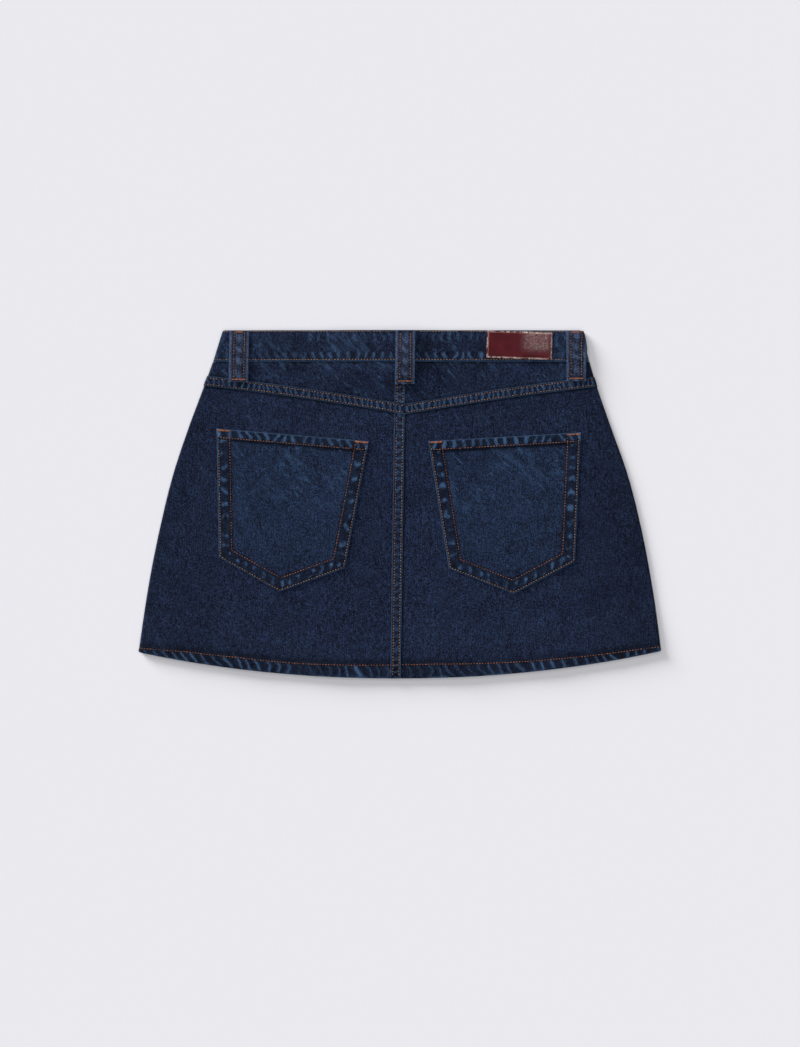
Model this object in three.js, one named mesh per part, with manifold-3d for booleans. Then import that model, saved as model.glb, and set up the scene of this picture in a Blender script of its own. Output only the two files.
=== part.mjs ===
// A five-pocket style denim mini skirt, closed and laid flat with its front on the table.
// It is a tube of heavy cloth pressed flat: two front panels below, two back panels and a
// V-shaped yoke above, a waistband folded round both sides and lapped at the centre front,
// five belt loops, two patch pockets, a leather patch, and a fly with its zip and button.
// Millimetres. X runs across the skirt, with the wearer's left at -X. Y runs up to the waist.
// Z is up from the table, and the origin is on the table under the middle of the skirt.
import * as THREE from "three";
import { mergeVertices } from "three/addons/utils/BufferGeometryUtils.js";
import Module from "manifold-3d";

// Main sizes
const LENGTH = 355;
const TOP = LENGTH / 2;
const BOTTOM = -LENGTH / 2;
const CLOTH = 1.0;
const SEAM_GAP = 0.3;
const REST_GAP = 0.3;

// Outline of the flat tube: half width on each side, read down from the waist edge
const SIDES = [
  { down: 0, left: 180.8, right: 185.1 },
  { down: 30, left: 190.3, right: 192.8 },
  { down: 60, left: 201.2, right: 201.9 },
  { down: 100, left: 216.2, right: 215.9 },
  { down: 150, left: 232.5, right: 233.3 },
  { down: 210, left: 247.0, right: 248.1 },
  { down: 270, left: 258.3, right: 259.0 },
  { down: 328, left: 266.8, right: 266.8 },
  { down: 355, left: 270.4, right: 270.4 },
];
const HEM = { rise: 27.3, centre: -3, reach: 266.8, power: 2.1, depth: 13, layers: 3, rim: 1.2 };

// Waistband: two layers and the seam allowances between them
const WAISTBAND = { height: 32, thick: 3.0, proud: 1.0, rim: 1.0 };
const WAIST_SEAM = TOP - WAISTBAND.height;

// Flat-felled seams stand up as a strip with a folded edge
const FELL = { width: 11, height: 0.9, edge: 0.5, slope: 0.9 };
const CENTRE_BACK = { foot: 0.8, lean: 5.4 };
const YOKE = { centre: 91.5, rise: 29, reach: 203, bow: 0.22 };

// Height of the back layer's outer face above the table
const LIE = {
  body: 4.5,
  atWaist: 1.4,
  waistFade: 60,
  atHem: 2.2,
  hemFade: 45,
};
// Soft waves of the back layer, from the yoke down to the hem
const FOLDS = [
  { top: -172, foot: -222, width: 24, height: 0.5 },
  { top: -128, foot: -150, width: 30, height: 0.8 },
  { top: -48, foot: -66, width: 30, height: 0.9 },
  { top: 50, foot: 62, width: 28, height: 0.7 },
  { top: 132, foot: 158, width: 32, height: 0.9 },
  { top: 176, foot: 226, width: 22, height: 0.5 },
];

// Belt loops
const LOOP = { width: 20, thick: 2.0, bow: 1.1, inset: 0.6, edge: 0.6 };
const BACK_LOOPS = [
  { name: "belt_loop_back_left", top: -163.6, foot: -164.7, length: 53, steps: 5 },
  { name: "belt_loop_centre_back", top: 5.6, foot: 5.0, length: 55, steps: 5 },
  { name: "belt_loop_back_right", top: 179.4, foot: 179.8, length: 52, steps: 16 },
];
const FRONT_LOOPS = [
  { name: "belt_loop_front_left", x: -86 },
  { name: "belt_loop_front_right", x: 86 },
];
const FRONT_LOOP_LENGTH = 53;
// The stiff front waist bridges between the loops and the button that it lies on
const FRONT_LIFT = { height: LOOP.thick + REST_GAP, reach: 112, fade: 34, tail: 30 };

// Patch pockets, each hung from the middle of its opening edge
const POCKET = {
  top: 156,
  foot: 129,
  side: 131.4,
  tip: 161,
  rim: 12.3,
  rimHeight: 0.6,
  band: 9.6,
  bandHeight: 1.1,
  step: 1.0,
  edge: 0.7,
};
const POCKETS = [
  { name: "pocket_left", x: -109.4, y: 71.0, turn: -4.8 },
  { name: "pocket_right", x: 106.7, y: 69.0, turn: 3.3 },
];

// Leather patch on the waistband
const PATCH = { x: 121.8, y: 162.2, width: 67, height: 28, thick: 1.3, turn: -1.9, bevel: 0.5 };

// Closure at the centre front
const CLOSURE = {
  edge: 4,
  underlap: -36,
  ramp: 16,
  flyLength: 115,
  rise: WAISTBAND.thick + SEAM_GAP,
  fade: 30,
};
const FLY_END = WAIST_SEAM - CLOSURE.flyLength;
const SHIELD = { left: -38, thick: 1.6, clear: 3.15, dip: 1.3 };
const ZIP = { left: -26, right: -2, tape: 0.6, chain: 2.5, chainHeight: 1.3, slider: 4, sliderHeight: 1.55 };
const ZIP_CENTRE = (ZIP.left + ZIP.right) / 2;
const SLIDER = { length: 14, below: 3 };
const BUTTON = { x: -8, y: TOP - 16, radius: 8.5, head: LOOP.thick, shank: 3, rim: 0.6 };
const BUTTONHOLE = { eye: 3.6, slit: 0.8, length: 16 };
// How far the back layer rides up over the closure, the fly and the bridged front waist
const OVER = {
  centre: -16,
  reach: 24,
  fade: 56,
  closure: 5.2,
  closureTail: 46,
  fly: 1.9,
  flyTail: 34,
  waist: 1.9,
  waistReach: 112,
  waistFade: 44,
  waistTail: 40,
  sideFade: 30,
};

const COLOURS = {
  denim: 0x1c2540,
  pocket: 0x212c48,
  loop: 0x2c3850,
  leather: 0x4a121a,
  metal: 0x8a6a42,
  tape: 0x161b2b,
};

const clamp = (value, low, high) => Math.min(high, Math.max(low, value));
const mix = (a, b, share) => a + (b - a) * share;

// Rises smoothly from 0 to 1
function ease(share) {
  const s = clamp(share, 0, 1);
  return s * s * (3 - 2 * s);
}

// 1 within reach of zero, easing to 0 over the fade beyond it
const plateau = (distance, reach, fade) => 1 - ease((Math.abs(distance) - reach) / fade);

// A smooth curve through one column of a table of rows
function readTable(rows, column, down) {
  const last = rows.length - 2;
  const found = rows.findIndex((row, i) => i > 0 && down <= row.down) - 1;
  const i = down < rows[0].down ? 0 : found < 0 ? last : found;
  const slope = (k) => {
    const a = rows[Math.max(k - 1, 0)];
    const b = rows[Math.min(k + 1, rows.length - 1)];
    return (b[column] - a[column]) / (b.down - a.down);
  };
  const [a, b] = [rows[i], rows[i + 1]];
  const span = b.down - a.down;
  const t = (down - a.down) / span;
  const bend = (slope(i) * (1 - t) - slope(i + 1) * t) * span * t * (1 - t);
  const lean = (b[column] - a[column]) * (t * t * (3 - 2 * t)) + a[column];
  return lean + bend;
}

// Lines of the pattern, seen from above
const sideEdge = (side, y) => side * readTable(SIDES, side < 0 ? "left" : "right", TOP - y);
const hemLine = (x) =>
  BOTTOM + HEM.rise * (Math.abs(x - HEM.centre) / HEM.reach) ** HEM.power;
const centreBack = (y) => CENTRE_BACK.foot + (CENTRE_BACK.lean * (y - BOTTOM)) / LENGTH;
function yokeLine(x) {
  const t = Math.abs(x - centreBack(YOKE.centre)) / YOKE.reach;
  return YOKE.centre + YOKE.rise * ((1 + YOKE.bow) * t - YOKE.bow * t * t);
}

// How far the front layer is held off the table by the loops and the button under it
function frontLift(x, y) {
  const across = plateau(x, FRONT_LIFT.reach, FRONT_LIFT.fade);
  const below = TOP - y - FRONT_LOOP_LENGTH - 4;
  return FRONT_LIFT.height * across * (1 - ease(below / FRONT_LIFT.tail));
}

// How far the wearer's right front climbs to pass inside the left one at the waist
function lapRise(x, y) {
  const across = 1 - ease((x - CLOSURE.edge - 1) / CLOSURE.ramp);
  return CLOSURE.rise * across * (1 - ease((WAIST_SEAM - y) / CLOSURE.fade));
}

// How far the back layer is lifted by what lies under it
function backLift(x, y) {
  const middle = plateau(x - OVER.centre, OVER.reach, OVER.fade);
  const across = plateau(x, OVER.waistReach, OVER.waistFade);
  const closure = OVER.closure * middle * (1 - ease((WAIST_SEAM - 4 - y) / OVER.closureTail));
  const fly = OVER.fly * middle * (1 - ease((FLY_END - 4 - y) / OVER.flyTail));
  const waist = OVER.waist * across * (1 - ease((TOP - y - FRONT_LOOP_LENGTH) / OVER.waistTail));
  return Math.hypot(closure, fly, waist);
}

// Soft waves that grow from the yoke to the hem
function foldHeight(x, y) {
  const grown = clamp((YOKE.centre + YOKE.rise - y) / (TOP - BOTTOM - 60), 0, 1);
  return FOLDS.reduce((sum, fold) => {
    const middle = mix(fold.top, fold.foot, grown);
    return sum + fold.height * ease(grown * 1.6) * Math.exp(-(((x - middle) / fold.width) ** 2));
  }, 0);
}

// Outer face of the back panels above the table, before seams and pockets
function backHeight(x, y) {
  const flat =
    LIE.body +
    LIE.atWaist * (1 - ease((WAIST_SEAM - y) / LIE.waistFade)) +
    LIE.atHem * (1 - ease((y - hemLine(x) - HEM.depth) / LIE.hemFade));
  const edge = sideEdge(x < 0 ? -1 : 1, y);
  const inside = ease((Math.abs(edge) - Math.abs(x) - 4) / OVER.sideFade);
  return flat + inside * (foldHeight(x, y) + backLift(x, y));
}

// Profile of a felled seam, by distance from its folded edge
function fellRelief(distance) {
  if (distance < 0 || distance > FELL.width) return 0;
  const atEdge = mix(FELL.edge, FELL.height, clamp(distance / FELL.slope, 0, 1));
  return Math.min(atEdge, (FELL.height * (FELL.width - distance)) / FELL.slope);
}
// Distances from a fold line that its profile bends at
const FELL_STOPS = [0, FELL.slope, FELL.width - FELL.slope, FELL.width];

const seamRelief = (x, y) => fellRelief(centreBack(y) - x);
const yokeRelief = (x, y) => Math.max(seamRelief(x, y), fellRelief(y - yokeLine(x)));

// Cloth is doubled and turned at the hem
const hemThickness = (x, y) => {
  const above = y - hemLine(x);
  const turned = 1 - ease((above - HEM.depth) / 1);
  return CLOTH * mix(1, HEM.layers, turned);
};
// A folded edge is rounded by taking this much off each face at its rim
const rimRound = (distance, rim, amount) => amount * (1 - clamp(distance / rim, 0, 1));

// A closed wall between an outer and an inner grid of points
function wall(rows) {
  const high = rows.length;
  const wide = rows[0].length;
  const flat = rows.flat();
  const points = [...flat.map((p) => p.outer), ...flat.map((p) => p.inner)];
  const at = (face, row, column) => (face * high + row) * wide + column;
  const faces = [];
  const quad = (a, b, c, d) => faces.push(a, b, c, a, c, d);
  for (let r = 0; r < high - 1; r++) {
    for (let c = 0; c < wide - 1; c++) {
      quad(at(0, r, c), at(0, r, c + 1), at(0, r + 1, c + 1), at(0, r + 1, c));
      quad(at(1, r, c), at(1, r + 1, c), at(1, r + 1, c + 1), at(1, r, c + 1));
    }
    quad(at(0, r, 0), at(0, r + 1, 0), at(1, r + 1, 0), at(1, r, 0));
    quad(at(0, r, wide - 1), at(1, r, wide - 1), at(1, r + 1, wide - 1), at(0, r + 1, wide - 1));
  }
  for (let c = 0; c < wide - 1; c++) {
    quad(at(0, 0, c), at(1, 0, c), at(1, 0, c + 1), at(0, 0, c + 1));
    quad(at(0, high - 1, c), at(0, high - 1, c + 1), at(1, high - 1, c + 1), at(1, high - 1, c));
  }
  const volume = signedVolume(points, faces);
  return geometryOf(points, volume < 0 ? faces.reverse() : faces);
}

function signedVolume(points, faces) {
  let sum = 0;
  for (let i = 0; i < faces.length; i += 3) {
    const [a, b, c] = [points[faces[i]], points[faces[i + 1]], points[faces[i + 2]]];
    sum += a[0] * (b[1] * c[2] - b[2] * c[1]);
    sum -= a[1] * (b[0] * c[2] - b[2] * c[0]);
    sum += a[2] * (b[0] * c[1] - b[1] * c[0]);
  }
  return sum / 6;
}

function geometryOf(points, faces) {
  const geometry = new THREE.BufferGeometry();
  geometry.setAttribute("position", new THREE.Float32BufferAttribute(points.flat(), 3));
  geometry.setIndex(faces);
  geometry.computeVertexNormals();
  return geometry;
}

// Values from a list of stops at the low end, even steps, then stops at the high end
function spread(low, high, lowStops, steps, highStops) {
  const first = low + lowStops.at(-1);
  const last = high - highStops.at(-1);
  const middle = Array.from({ length: steps - 1 }, (_, i) => mix(first, last, (i + 1) / steps));
  return [...lowStops.map((s) => low + s), ...middle, ...highStops.map((s) => high - s).reverse()];
}

// The rounded side of the flat tube: half a circle whose top is the back layer's height
const sideRadius = (side, y) => {
  const x = sideEdge(side, y);
  return backHeight(x, y) / 2;
};
const ARC_STOPS = [0, 30, 60, 90];
const radians = THREE.MathUtils.degToRad;

// A point of the wall at an angle up round the side, 90 degrees being where the flat begins
function arcPoint(side, y, degrees, thickness, radius) {
  const angle = radians(degrees);
  const middle = sideEdge(side, y) - side * radius;
  const ring = (r) => [middle + side * r * Math.cos(angle), y, radius + r * Math.sin(angle)];
  return { outer: ring(radius), inner: ring(radius - thickness) };
}

// The same on a panel that ends at the side seam, above it or below it
function seamPoint(side, y, degrees, thickness, layer) {
  const radius = sideRadius(side, y);
  const at = arcPoint(side, y, layer * degrees, thickness, radius);
  for (const point of [at.outer, at.inner]) {
    const rise = Math.max(layer * (point[2] - radius), SEAM_GAP / 2);
    point[2] = radius + layer * rise;
  }
  return at;
}

// A column runs up the cloth from the hem to the waist, and gives x and the wall there
const arcColumn = (side, degrees, thickness, layer) => ({
  x: (y) => sideEdge(side, y) - side * sideRadius(side, y) * (1 - Math.cos(radians(degrees))),
  point: (y) => seamPoint(side, y, degrees, thickness(sideEdge(side, y), y), layer),
});
const flatColumn = (x, face) => ({ x, point: (y) => face(x(y), y) });

// The height of a pattern line on a column, which leans with the side of the skirt
function meet(column, line) {
  let y = line(column.x(0));
  for (let i = 0; i < 6; i++) y = line(column.x(y));
  return y;
}

// A panel from its columns, between two lines, with rows at the stops given
function panel(columns, lowLine, highLine, lowStops, steps, highStops) {
  const lines = columns.map((column) => {
    const low = meet(column, lowLine);
    const high = meet(column, highLine);
    return spread(low, high, lowStops, steps, highStops).map((y) => column.point(y));
  });
  return wall(lines[0].map((_, row) => lines.map((line) => line[row])));
}

// Columns from one side seam to an inner line, with stops beside that line
function columnsTo(side, innerLine, innerStops, steps, face, thickness, layer) {
  const arcs = ARC_STOPS.map((degrees) => arcColumn(side, degrees, thickness, layer));
  const start = (y) => sideEdge(side, y) - side * sideRadius(side, y);
  const end = (y) => innerLine(y) + side * innerStops.at(-1);
  const between = Array.from({ length: steps - 1 }, (_, i) =>
    flatColumn((y) => mix(start(y), end(y), (i + 1) / steps), face),
  );
  const stops = [...innerStops].reverse().map((stop) => flatColumn((y) => innerLine(y) + side * stop, face));
  return [...arcs, ...between, ...stops];
}

// Walls of the back layer: outer face, relief and thickness above the table
function backFace(relief, thickness, rim = () => 0) {
  return (x, y) => {
    const height = backHeight(x, y);
    const off = rim(x, y);
    return {
      outer: [x, y, height + relief(x, y) - off],
      inner: [x, y, height - thickness(x, y) + off],
    };
  };
}

const hemRim = (x, y) => rimRound(y - hemLine(x), HEM.rim, 0.7);
const HEM_STOPS = [0, HEM.rim, HEM.depth, HEM.depth + 1];
const plainThickness = () => CLOTH;

function backPanel(side) {
  const seam = (y) => centreBack(y) + (side < 0 ? 0 : SEAM_GAP);
  const face = backFace(seamRelief, hemThickness, hemRim);
  const stops = side < 0 ? FELL_STOPS : [0];
  const columns = columnsTo(side, seam, stops, 16, face, hemThickness, 1);
  const top = (x) => yokeLine(x) - SEAM_GAP;
  return panel(columns, hemLine, top, HEM_STOPS, 15, [0]);
}

function yoke(side) {
  const seam = (y) => centreBack(y) + (side < 0 ? 0 : SEAM_GAP);
  const face = backFace(yokeRelief, plainThickness);
  const stops = side < 0 ? FELL_STOPS : [0];
  const columns = columnsTo(side, seam, stops, 13, face, plainThickness, 1);
  return panel(columns, yokeLine, () => WAIST_SEAM - SEAM_GAP, FELL_STOPS, 4, [0]);
}

// Walls of the front layer, whose outer face lies on the table
const frontFace = (rise) => (x, y) => {
  const low = frontLift(x, y) + rise(x, y);
  const off = hemRim(x, y);
  return { outer: [x, y, low + off], inner: [x, y, low + hemThickness(x, y) - off] };
};

// Rows below the waist seam that the front and what lies on it inside have in common
const FLY_STOPS = [0, 6, 12, 18, 24, 32, 40, 48, 56];

function frontPanel(side) {
  const edge = () => CLOSURE.edge + (side < 0 ? 0 : SEAM_GAP);
  const face = frontFace(side < 0 ? () => 0 : lapRise);
  const columns = columnsTo(side, edge, [0, 6, 12, 18, 26], 12, face, hemThickness, -1);
  const top = () => WAIST_SEAM - SEAM_GAP;
  return panel(columns, hemLine, top, HEM_STOPS, 8, FLY_STOPS);
}

// Waistband: one strip from the left end, round the back, to the end under the left one
function waistband() {
  const half = WAISTBAND.thick;
  const round = (y) => {
    const top = rimRound(TOP - y, WAISTBAND.rim, 0.9);
    return top + rimRound(y - WAIST_SEAM, WAISTBAND.rim, 0.5);
  };
  const radius = (side, y) => sideRadius(side, y) + WAISTBAND.proud / 2;
  const flatEdge = (side, y) => sideEdge(side, y) - side * radius(side, y);
  const middle = (TOP + WAIST_SEAM) / 2;
  const lean = (side, x) => (y) => (x * flatEdge(side, y)) / flatEdge(side, middle);
  const stations = (from, to, step) => {
    const count = Math.round(Math.abs(to - from) / step);
    return Array.from({ length: count + 1 }, (_, i) => mix(from, to, i / count));
  };
  const front = (rise) => (x, y) => {
    const low = frontLift(x, y) + rise(x, y);
    return { outer: [x, y, low + round(y)], inner: [x, y, low + half - round(y)] };
  };
  const back = (x, y) => {
    const high = backHeight(x, y) + WAISTBAND.proud;
    return { outer: [x, y, high - round(y)], inner: [x, y, high - half + round(y)] };
  };
  const fold = (side, degrees) => ({
    point: (y) => {
      const r = radius(side, y);
      const at = arcPoint(side, y, degrees, half, r);
      const share = round(y) / half;
      const move = (a, b) => a.map((value, i) => mix(value, b[i], share));
      return { outer: move(at.outer, at.inner), inner: move(at.inner, at.outer) };
    },
  });
  const strip = (side, from, to, step, face) =>
    stations(from, to, step).map((x) => flatColumn(lean(side, x), face));
  const folds = (side, signs) => signs.map((degrees) => fold(side, degrees));
  const up = [-60, -30, 0, 30, 60];
  const [leftEdge, rightEdge] = [flatEdge(-1, middle), flatEdge(1, middle)];
  const columns = [
    ...strip(-1, CLOSURE.edge, -112, 6, front(() => 0)),
    ...strip(-1, -122, leftEdge, 15, front(() => 0)),
    ...folds(-1, up),
    ...strip(-1, leftEdge, -10, 9, back),
    ...strip(1, 0, rightEdge, 9, back),
    ...folds(1, [...up].reverse()),
    ...strip(1, rightEdge, 122, 15, front(lapRise)),
    ...strip(1, 112, CLOSURE.edge + 1, 6, front(lapRise)),
    ...strip(1, CLOSURE.edge - 6, CLOSURE.underlap, 6, front(lapRise)),
  ];
  const ys = spread(WAIST_SEAM, TOP, [0, WAISTBAND.rim], 3, [0, WAISTBAND.rim]);
  return wall(ys.map((y) => columns.map((column) => column.point(y))));
}

// A piece laid on the back layer: a local grid, moved out from the cloth under it
function laidPiece(place, grid, under, height) {
  const turn = THREE.MathUtils.degToRad(place.turn);
  return wall(
    grid.map((row) =>
      row.map(([u, v]) => {
        const x = place.x + u * Math.cos(turn) - v * Math.sin(turn);
        const y = place.y + u * Math.sin(turn) + v * Math.cos(turn);
        const low = under(x, y) + REST_GAP;
        return { outer: [x, y, low + height(u, v)], inner: [x, y, low] };
      }),
    ),
  );
}

// Pocket outline in its own axes: the opening edge is v = 0 and the point hangs below it
const pocketHalf = (v) => mix(POCKET.top / 2, POCKET.foot / 2, -v / POCKET.side);
const pocketFoot = (u) =>
  -POCKET.tip + ((POCKET.tip - POCKET.side) * Math.abs(u)) / (POCKET.foot / 2);
const POCKET_SLANT = Math.cos(Math.atan2(POCKET.tip - POCKET.side, POCKET.foot / 2));

function pocketGrid() {
  const edges = [0, POCKET.edge, POCKET.rim, POCKET.rim + POCKET.step];
  const half = (v) => pocketHalf(v);
  const inner = edges.at(-1);
  const left = edges.map((distance) => (v) => -half(v) + distance);
  const shares = [-0.75, -0.5, -0.25, 0, 0.25, 0.5, 0.75];
  const middle = shares.map((share) => (v) => share * (half(v) - inner));
  const right = [...edges].reverse().map((distance) => (v) => half(v) - distance);
  const columns = [...left, ...middle, ...right];
  const foot = edges.map((distance) => distance / POCKET_SLANT);
  const band = [0, POCKET.edge, POCKET.band, POCKET.band + POCKET.step];
  const lines = columns.map((u) => {
    const low = meet({ x: u }, pocketFoot);
    return spread(low, 0, foot, 8, band).map((v) => [u(v), v]);
  });
  return lines[0].map((_, row) => lines.map((line) => line[row]));
}

// Cloth turned in along an edge: full height from the rim to a step on the inner side
function turnedRelief(distance, width, height) {
  const inside = clamp((width + POCKET.step - distance) / POCKET.step, 0, 1);
  return height * Math.min(inside, clamp(distance / POCKET.edge, 0, 1));
}

function pocketHeight(u, v) {
  const side = pocketHalf(v) - Math.abs(u);
  const foot = (v - pocketFoot(u)) * POCKET_SLANT;
  const rim = turnedRelief(Math.min(side, foot), POCKET.rim, POCKET.rimHeight);
  const band = turnedRelief(-v, POCKET.band, POCKET.bandHeight);
  return CLOTH - rimRound(Math.min(side, foot, -v), POCKET.edge, 0.3) + Math.max(rim, band);
}

function patchGrid() {
  const across = spread(-PATCH.width / 2, PATCH.width / 2, [0, PATCH.bevel], 7, [0, PATCH.bevel]);
  const up = spread(-PATCH.height / 2, PATCH.height / 2, [0, PATCH.bevel], 3, [0, PATCH.bevel]);
  return up.map((v) => across.map((u) => [u, v]));
}

function patchHeight(u, v) {
  const inside = Math.min(PATCH.width / 2 - Math.abs(u), PATCH.height / 2 - Math.abs(v));
  return PATCH.thick - rimRound(inside, PATCH.bevel, PATCH.bevel);
}

// Outer face of the waistband on the back, and past its edge round the side of the tube
function waistFace(x, y, out) {
  const side = x < 0 ? -1 : 1;
  const radius = sideRadius(side, y) + WAISTBAND.proud / 2;
  const flat = sideEdge(side, y) - side * radius;
  const past = side * (x - flat);
  if (past <= 0) return [x, y, backHeight(x, y) + WAISTBAND.proud + out];
  const angle = past / radius;
  const reach = radius + out;
  return [flat + side * reach * Math.sin(angle), y, radius + reach * Math.cos(angle)];
}

// Back belt loop: tacked at the waist edge and over the yoke, bowed in between
function backLoop(loop) {
  const edges = [0, LOOP.edge];
  const across = spread(-LOOP.width / 2, LOOP.width / 2, edges, loop.steps, edges);
  const foot = TOP - loop.length;
  const ys = spread(foot, TOP - LOOP.inset, [0, 1, 5], 9, [0, 1, 5]);
  return wall(
    ys.map((y) => {
      const up = (y - foot) / loop.length;
      const drop = FELL.height - WAISTBAND.proud;
      const under = mix(drop, 0, ease((y - foot - 2) / (WAIST_SEAM - foot - 4)));
      const near = plateau(Math.abs(loop.top) - 179, 2, 4);
      const bow = LOOP.bow * Math.sin(Math.PI * clamp(up, 0, 1)) * (1 - 0.7 * near);
      return across.map((u) => {
        const x = mix(loop.foot, loop.top, up) + u;
        const low = REST_GAP + under + bow;
        const worn = rimRound(LOOP.width / 2 - Math.abs(u), LOOP.edge, 0.4);
        return {
          outer: waistFace(x, y, low + LOOP.thick - worn),
          inner: waistFace(x, y, low),
        };
      });
    }),
  );
}

// Front belt loop: pressed flat between the table and the waistband
function frontLoop(x) {
  const edges = [0, LOOP.edge];
  const across = spread(x - LOOP.width / 2, x + LOOP.width / 2, edges, 1, edges);
  const ys = spread(TOP - FRONT_LOOP_LENGTH, TOP - LOOP.inset, [0, 1], 1, [0, 1]);
  return wall(
    ys.map((y) =>
      across.map((at) => {
        const off = rimRound(LOOP.width / 2 - Math.abs(at - x), LOOP.edge, 0.4);
        return { outer: [at, y, off], inner: [at, y, LOOP.thick] };
      }),
    ),
  );
}

// Pieces inside the fly follow the left front, whose inner face is one cloth up
const flyFloor = (x, y) => frontLift(x, y) + CLOTH + REST_GAP;

// Zip: a woven tape with the closed chain along its middle and the slider at the top
function zip() {
  const chain = [ZIP_CENTRE - ZIP.slider, ZIP_CENTRE - ZIP.chain - 0.3, ZIP_CENTRE - ZIP.chain];
  const across = [ZIP.left, ...chain, ...chain.map((x) => 2 * ZIP_CENTRE - x).reverse(), ZIP.right];
  const top = WAIST_SEAM - SEAM_GAP;
  const slider = [top - SLIDER.below - SLIDER.length, top - SLIDER.below];
  const low = FLY_END + 4;
  const shared = FLY_STOPS.map((stop) => top - stop).filter((y) => y < slider[0] - 1).reverse();
  const ys = [low, ...shared, slider[0] - 0.5, ...slider, slider[1] + 0.5, top];
  const height = (x, y) => {
    const away = Math.abs(x - ZIP_CENTRE);
    const held = y >= slider[0] && y <= slider[1];
    if (held && away < ZIP.slider) return ZIP.sliderHeight;
    return away <= ZIP.chain ? ZIP.chainHeight : ZIP.tape;
  };
  return wall(
    ys.map((y) =>
      across.map((x) => {
        const floor = flyFloor(x, y);
        return { outer: [x, y, floor + height(x, y)], inner: [x, y, floor] };
      }),
    ),
  );
}

// Fly shield: a doubled strip behind the zip that carries on from the right front's edge
function flyShield() {
  const right = CLOSURE.edge;
  const across = [SHIELD.left, -28, -20, -14, -8, -1, 1.5, right];
  const ys = spread(FLY_END - 4, WAIST_SEAM - SEAM_GAP, [0, 1], 3, FLY_STOPS);
  return wall(
    ys.map((y) =>
      across.map((x) => {
        const dip = ease((x + 1) / (right + 1));
        const over = mix(SHIELD.clear, SHIELD.dip, dip);
        const level = Math.max(over, lapRise(0, y));
        const low = frontLift(x, y) + level;
        const off = rimRound(y - (FLY_END - 4), 1, 0.4);
        return { outer: [x, y, low + off], inner: [x, y, low + SHIELD.thick - off] };
      }),
    ),
  );
}

// Shank button, turned about its own axis with its head on the table
function button() {
  const { radius, head, shank, rim } = BUTTON;
  const top = head + WAISTBAND.thick + REST_GAP;
  const profile = [
    [0, 0.5],
    [radius * 0.55, 0.5],
    [radius * 0.65, 0],
    [radius - rim, 0],
    [radius, rim],
    [radius, head - rim],
    [radius - rim, head],
    [shank, head],
    [shank, top],
    [0, top],
  ].map(([r, z]) => new THREE.Vector2(r, z));
  const geometry = new THREE.LatheGeometry(profile, 28);
  geometry.rotateX(Math.PI / 2);
  return geometry;
}

// The keyhole cut in the left end of the waistband, with the shank in its eye
function buttonholeCutter() {
  const shape = new THREE.Shape();
  const neck = Math.asin(BUTTONHOLE.slit / BUTTONHOLE.eye);
  shape.absarc(0, 0, BUTTONHOLE.eye, Math.PI + neck, 3 * Math.PI - neck, false);
  shape.lineTo(-BUTTONHOLE.length, BUTTONHOLE.slit);
  shape.lineTo(-BUTTONHOLE.length, -BUTTONHOLE.slit);
  shape.closePath();
  const depth = FRONT_LIFT.height + WAISTBAND.thick + SEAM_GAP / 2;
  const geometry = new THREE.ExtrudeGeometry(shape, { depth, bevelEnabled: false, curveSegments: 16 });
  geometry.translate(BUTTON.x, BUTTON.y, 0);
  return geometry;
}

// Boolean joins and cuts
const wasm = await Module();
wasm.setup();

function solidOf(geometry) {
  const bare = geometry.clone();
  bare.deleteAttribute("normal");
  bare.deleteAttribute("uv");
  const merged = mergeVertices(bare, 1e-4);
  return new wasm.Manifold(
    new wasm.Mesh({
      numProp: 3,
      vertProperties: merged.attributes.position.array,
      triVerts: new Uint32Array(merged.index.array),
    }),
  );
}

function geometryFrom(solid) {
  const mesh = solid.getMesh();
  const geometry = new THREE.BufferGeometry();
  geometry.setAttribute("position", new THREE.BufferAttribute(mesh.vertProperties, 3));
  geometry.setIndex(new THREE.BufferAttribute(mesh.triVerts, 1));
  geometry.computeVertexNormals();
  return geometry;
}

// The scene: one named mesh for each piece
const cloth = (color, roughness = 0.9) => new THREE.MeshStandardMaterial({ color, roughness, metalness: 0 });
const denim = cloth(COLOURS.denim);
const pocketDenim = cloth(COLOURS.pocket);
const loopDenim = cloth(COLOURS.loop);
const leather = cloth(COLOURS.leather, 0.3);
const tape = cloth(COLOURS.tape);
const metal = new THREE.MeshStandardMaterial({ color: COLOURS.metal, roughness: 0.4, metalness: 1 });

function piece(name, geometry, material) {
  const mesh = new THREE.Mesh(geometry, material);
  mesh.name = name;
  return mesh;
}

const front = new THREE.Group();
front.add(piece("front_left", frontPanel(-1), denim));
front.add(piece("front_right", frontPanel(1), denim));

const back = new THREE.Group();
back.add(piece("back_left", backPanel(-1), denim));
back.add(piece("back_right", backPanel(1), denim));
back.add(piece("yoke_left", yoke(-1), denim));
back.add(piece("yoke_right", yoke(1), denim));
for (const place of POCKETS) {
  back.add(piece(place.name, laidPiece(place, pocketGrid(), backHeight, pocketHeight), pocketDenim));
}

const waist = new THREE.Group();
const band = solidOf(waistband()).subtract(solidOf(buttonholeCutter()));
waist.add(piece("waistband", geometryFrom(band), denim));
const bandFace = (x, y) => backHeight(x, y) + WAISTBAND.proud;
waist.add(piece("leather_patch", laidPiece(PATCH, patchGrid(), bandFace, patchHeight), leather));
for (const loop of BACK_LOOPS) waist.add(piece(loop.name, backLoop(loop), loopDenim));
for (const loop of FRONT_LOOPS) waist.add(piece(loop.name, frontLoop(loop.x), loopDenim));

const closure = new THREE.Group();
closure.add(piece("zip", zip(), tape));
closure.add(piece("fly_shield", flyShield(), denim));
const shank = piece("button", button(), metal);
shank.position.set(BUTTON.x, BUTTON.y, 0);
closure.add(shank);

const skirt = new THREE.Group();
skirt.add(front, back, waist, closure);

export default skirt;
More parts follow.
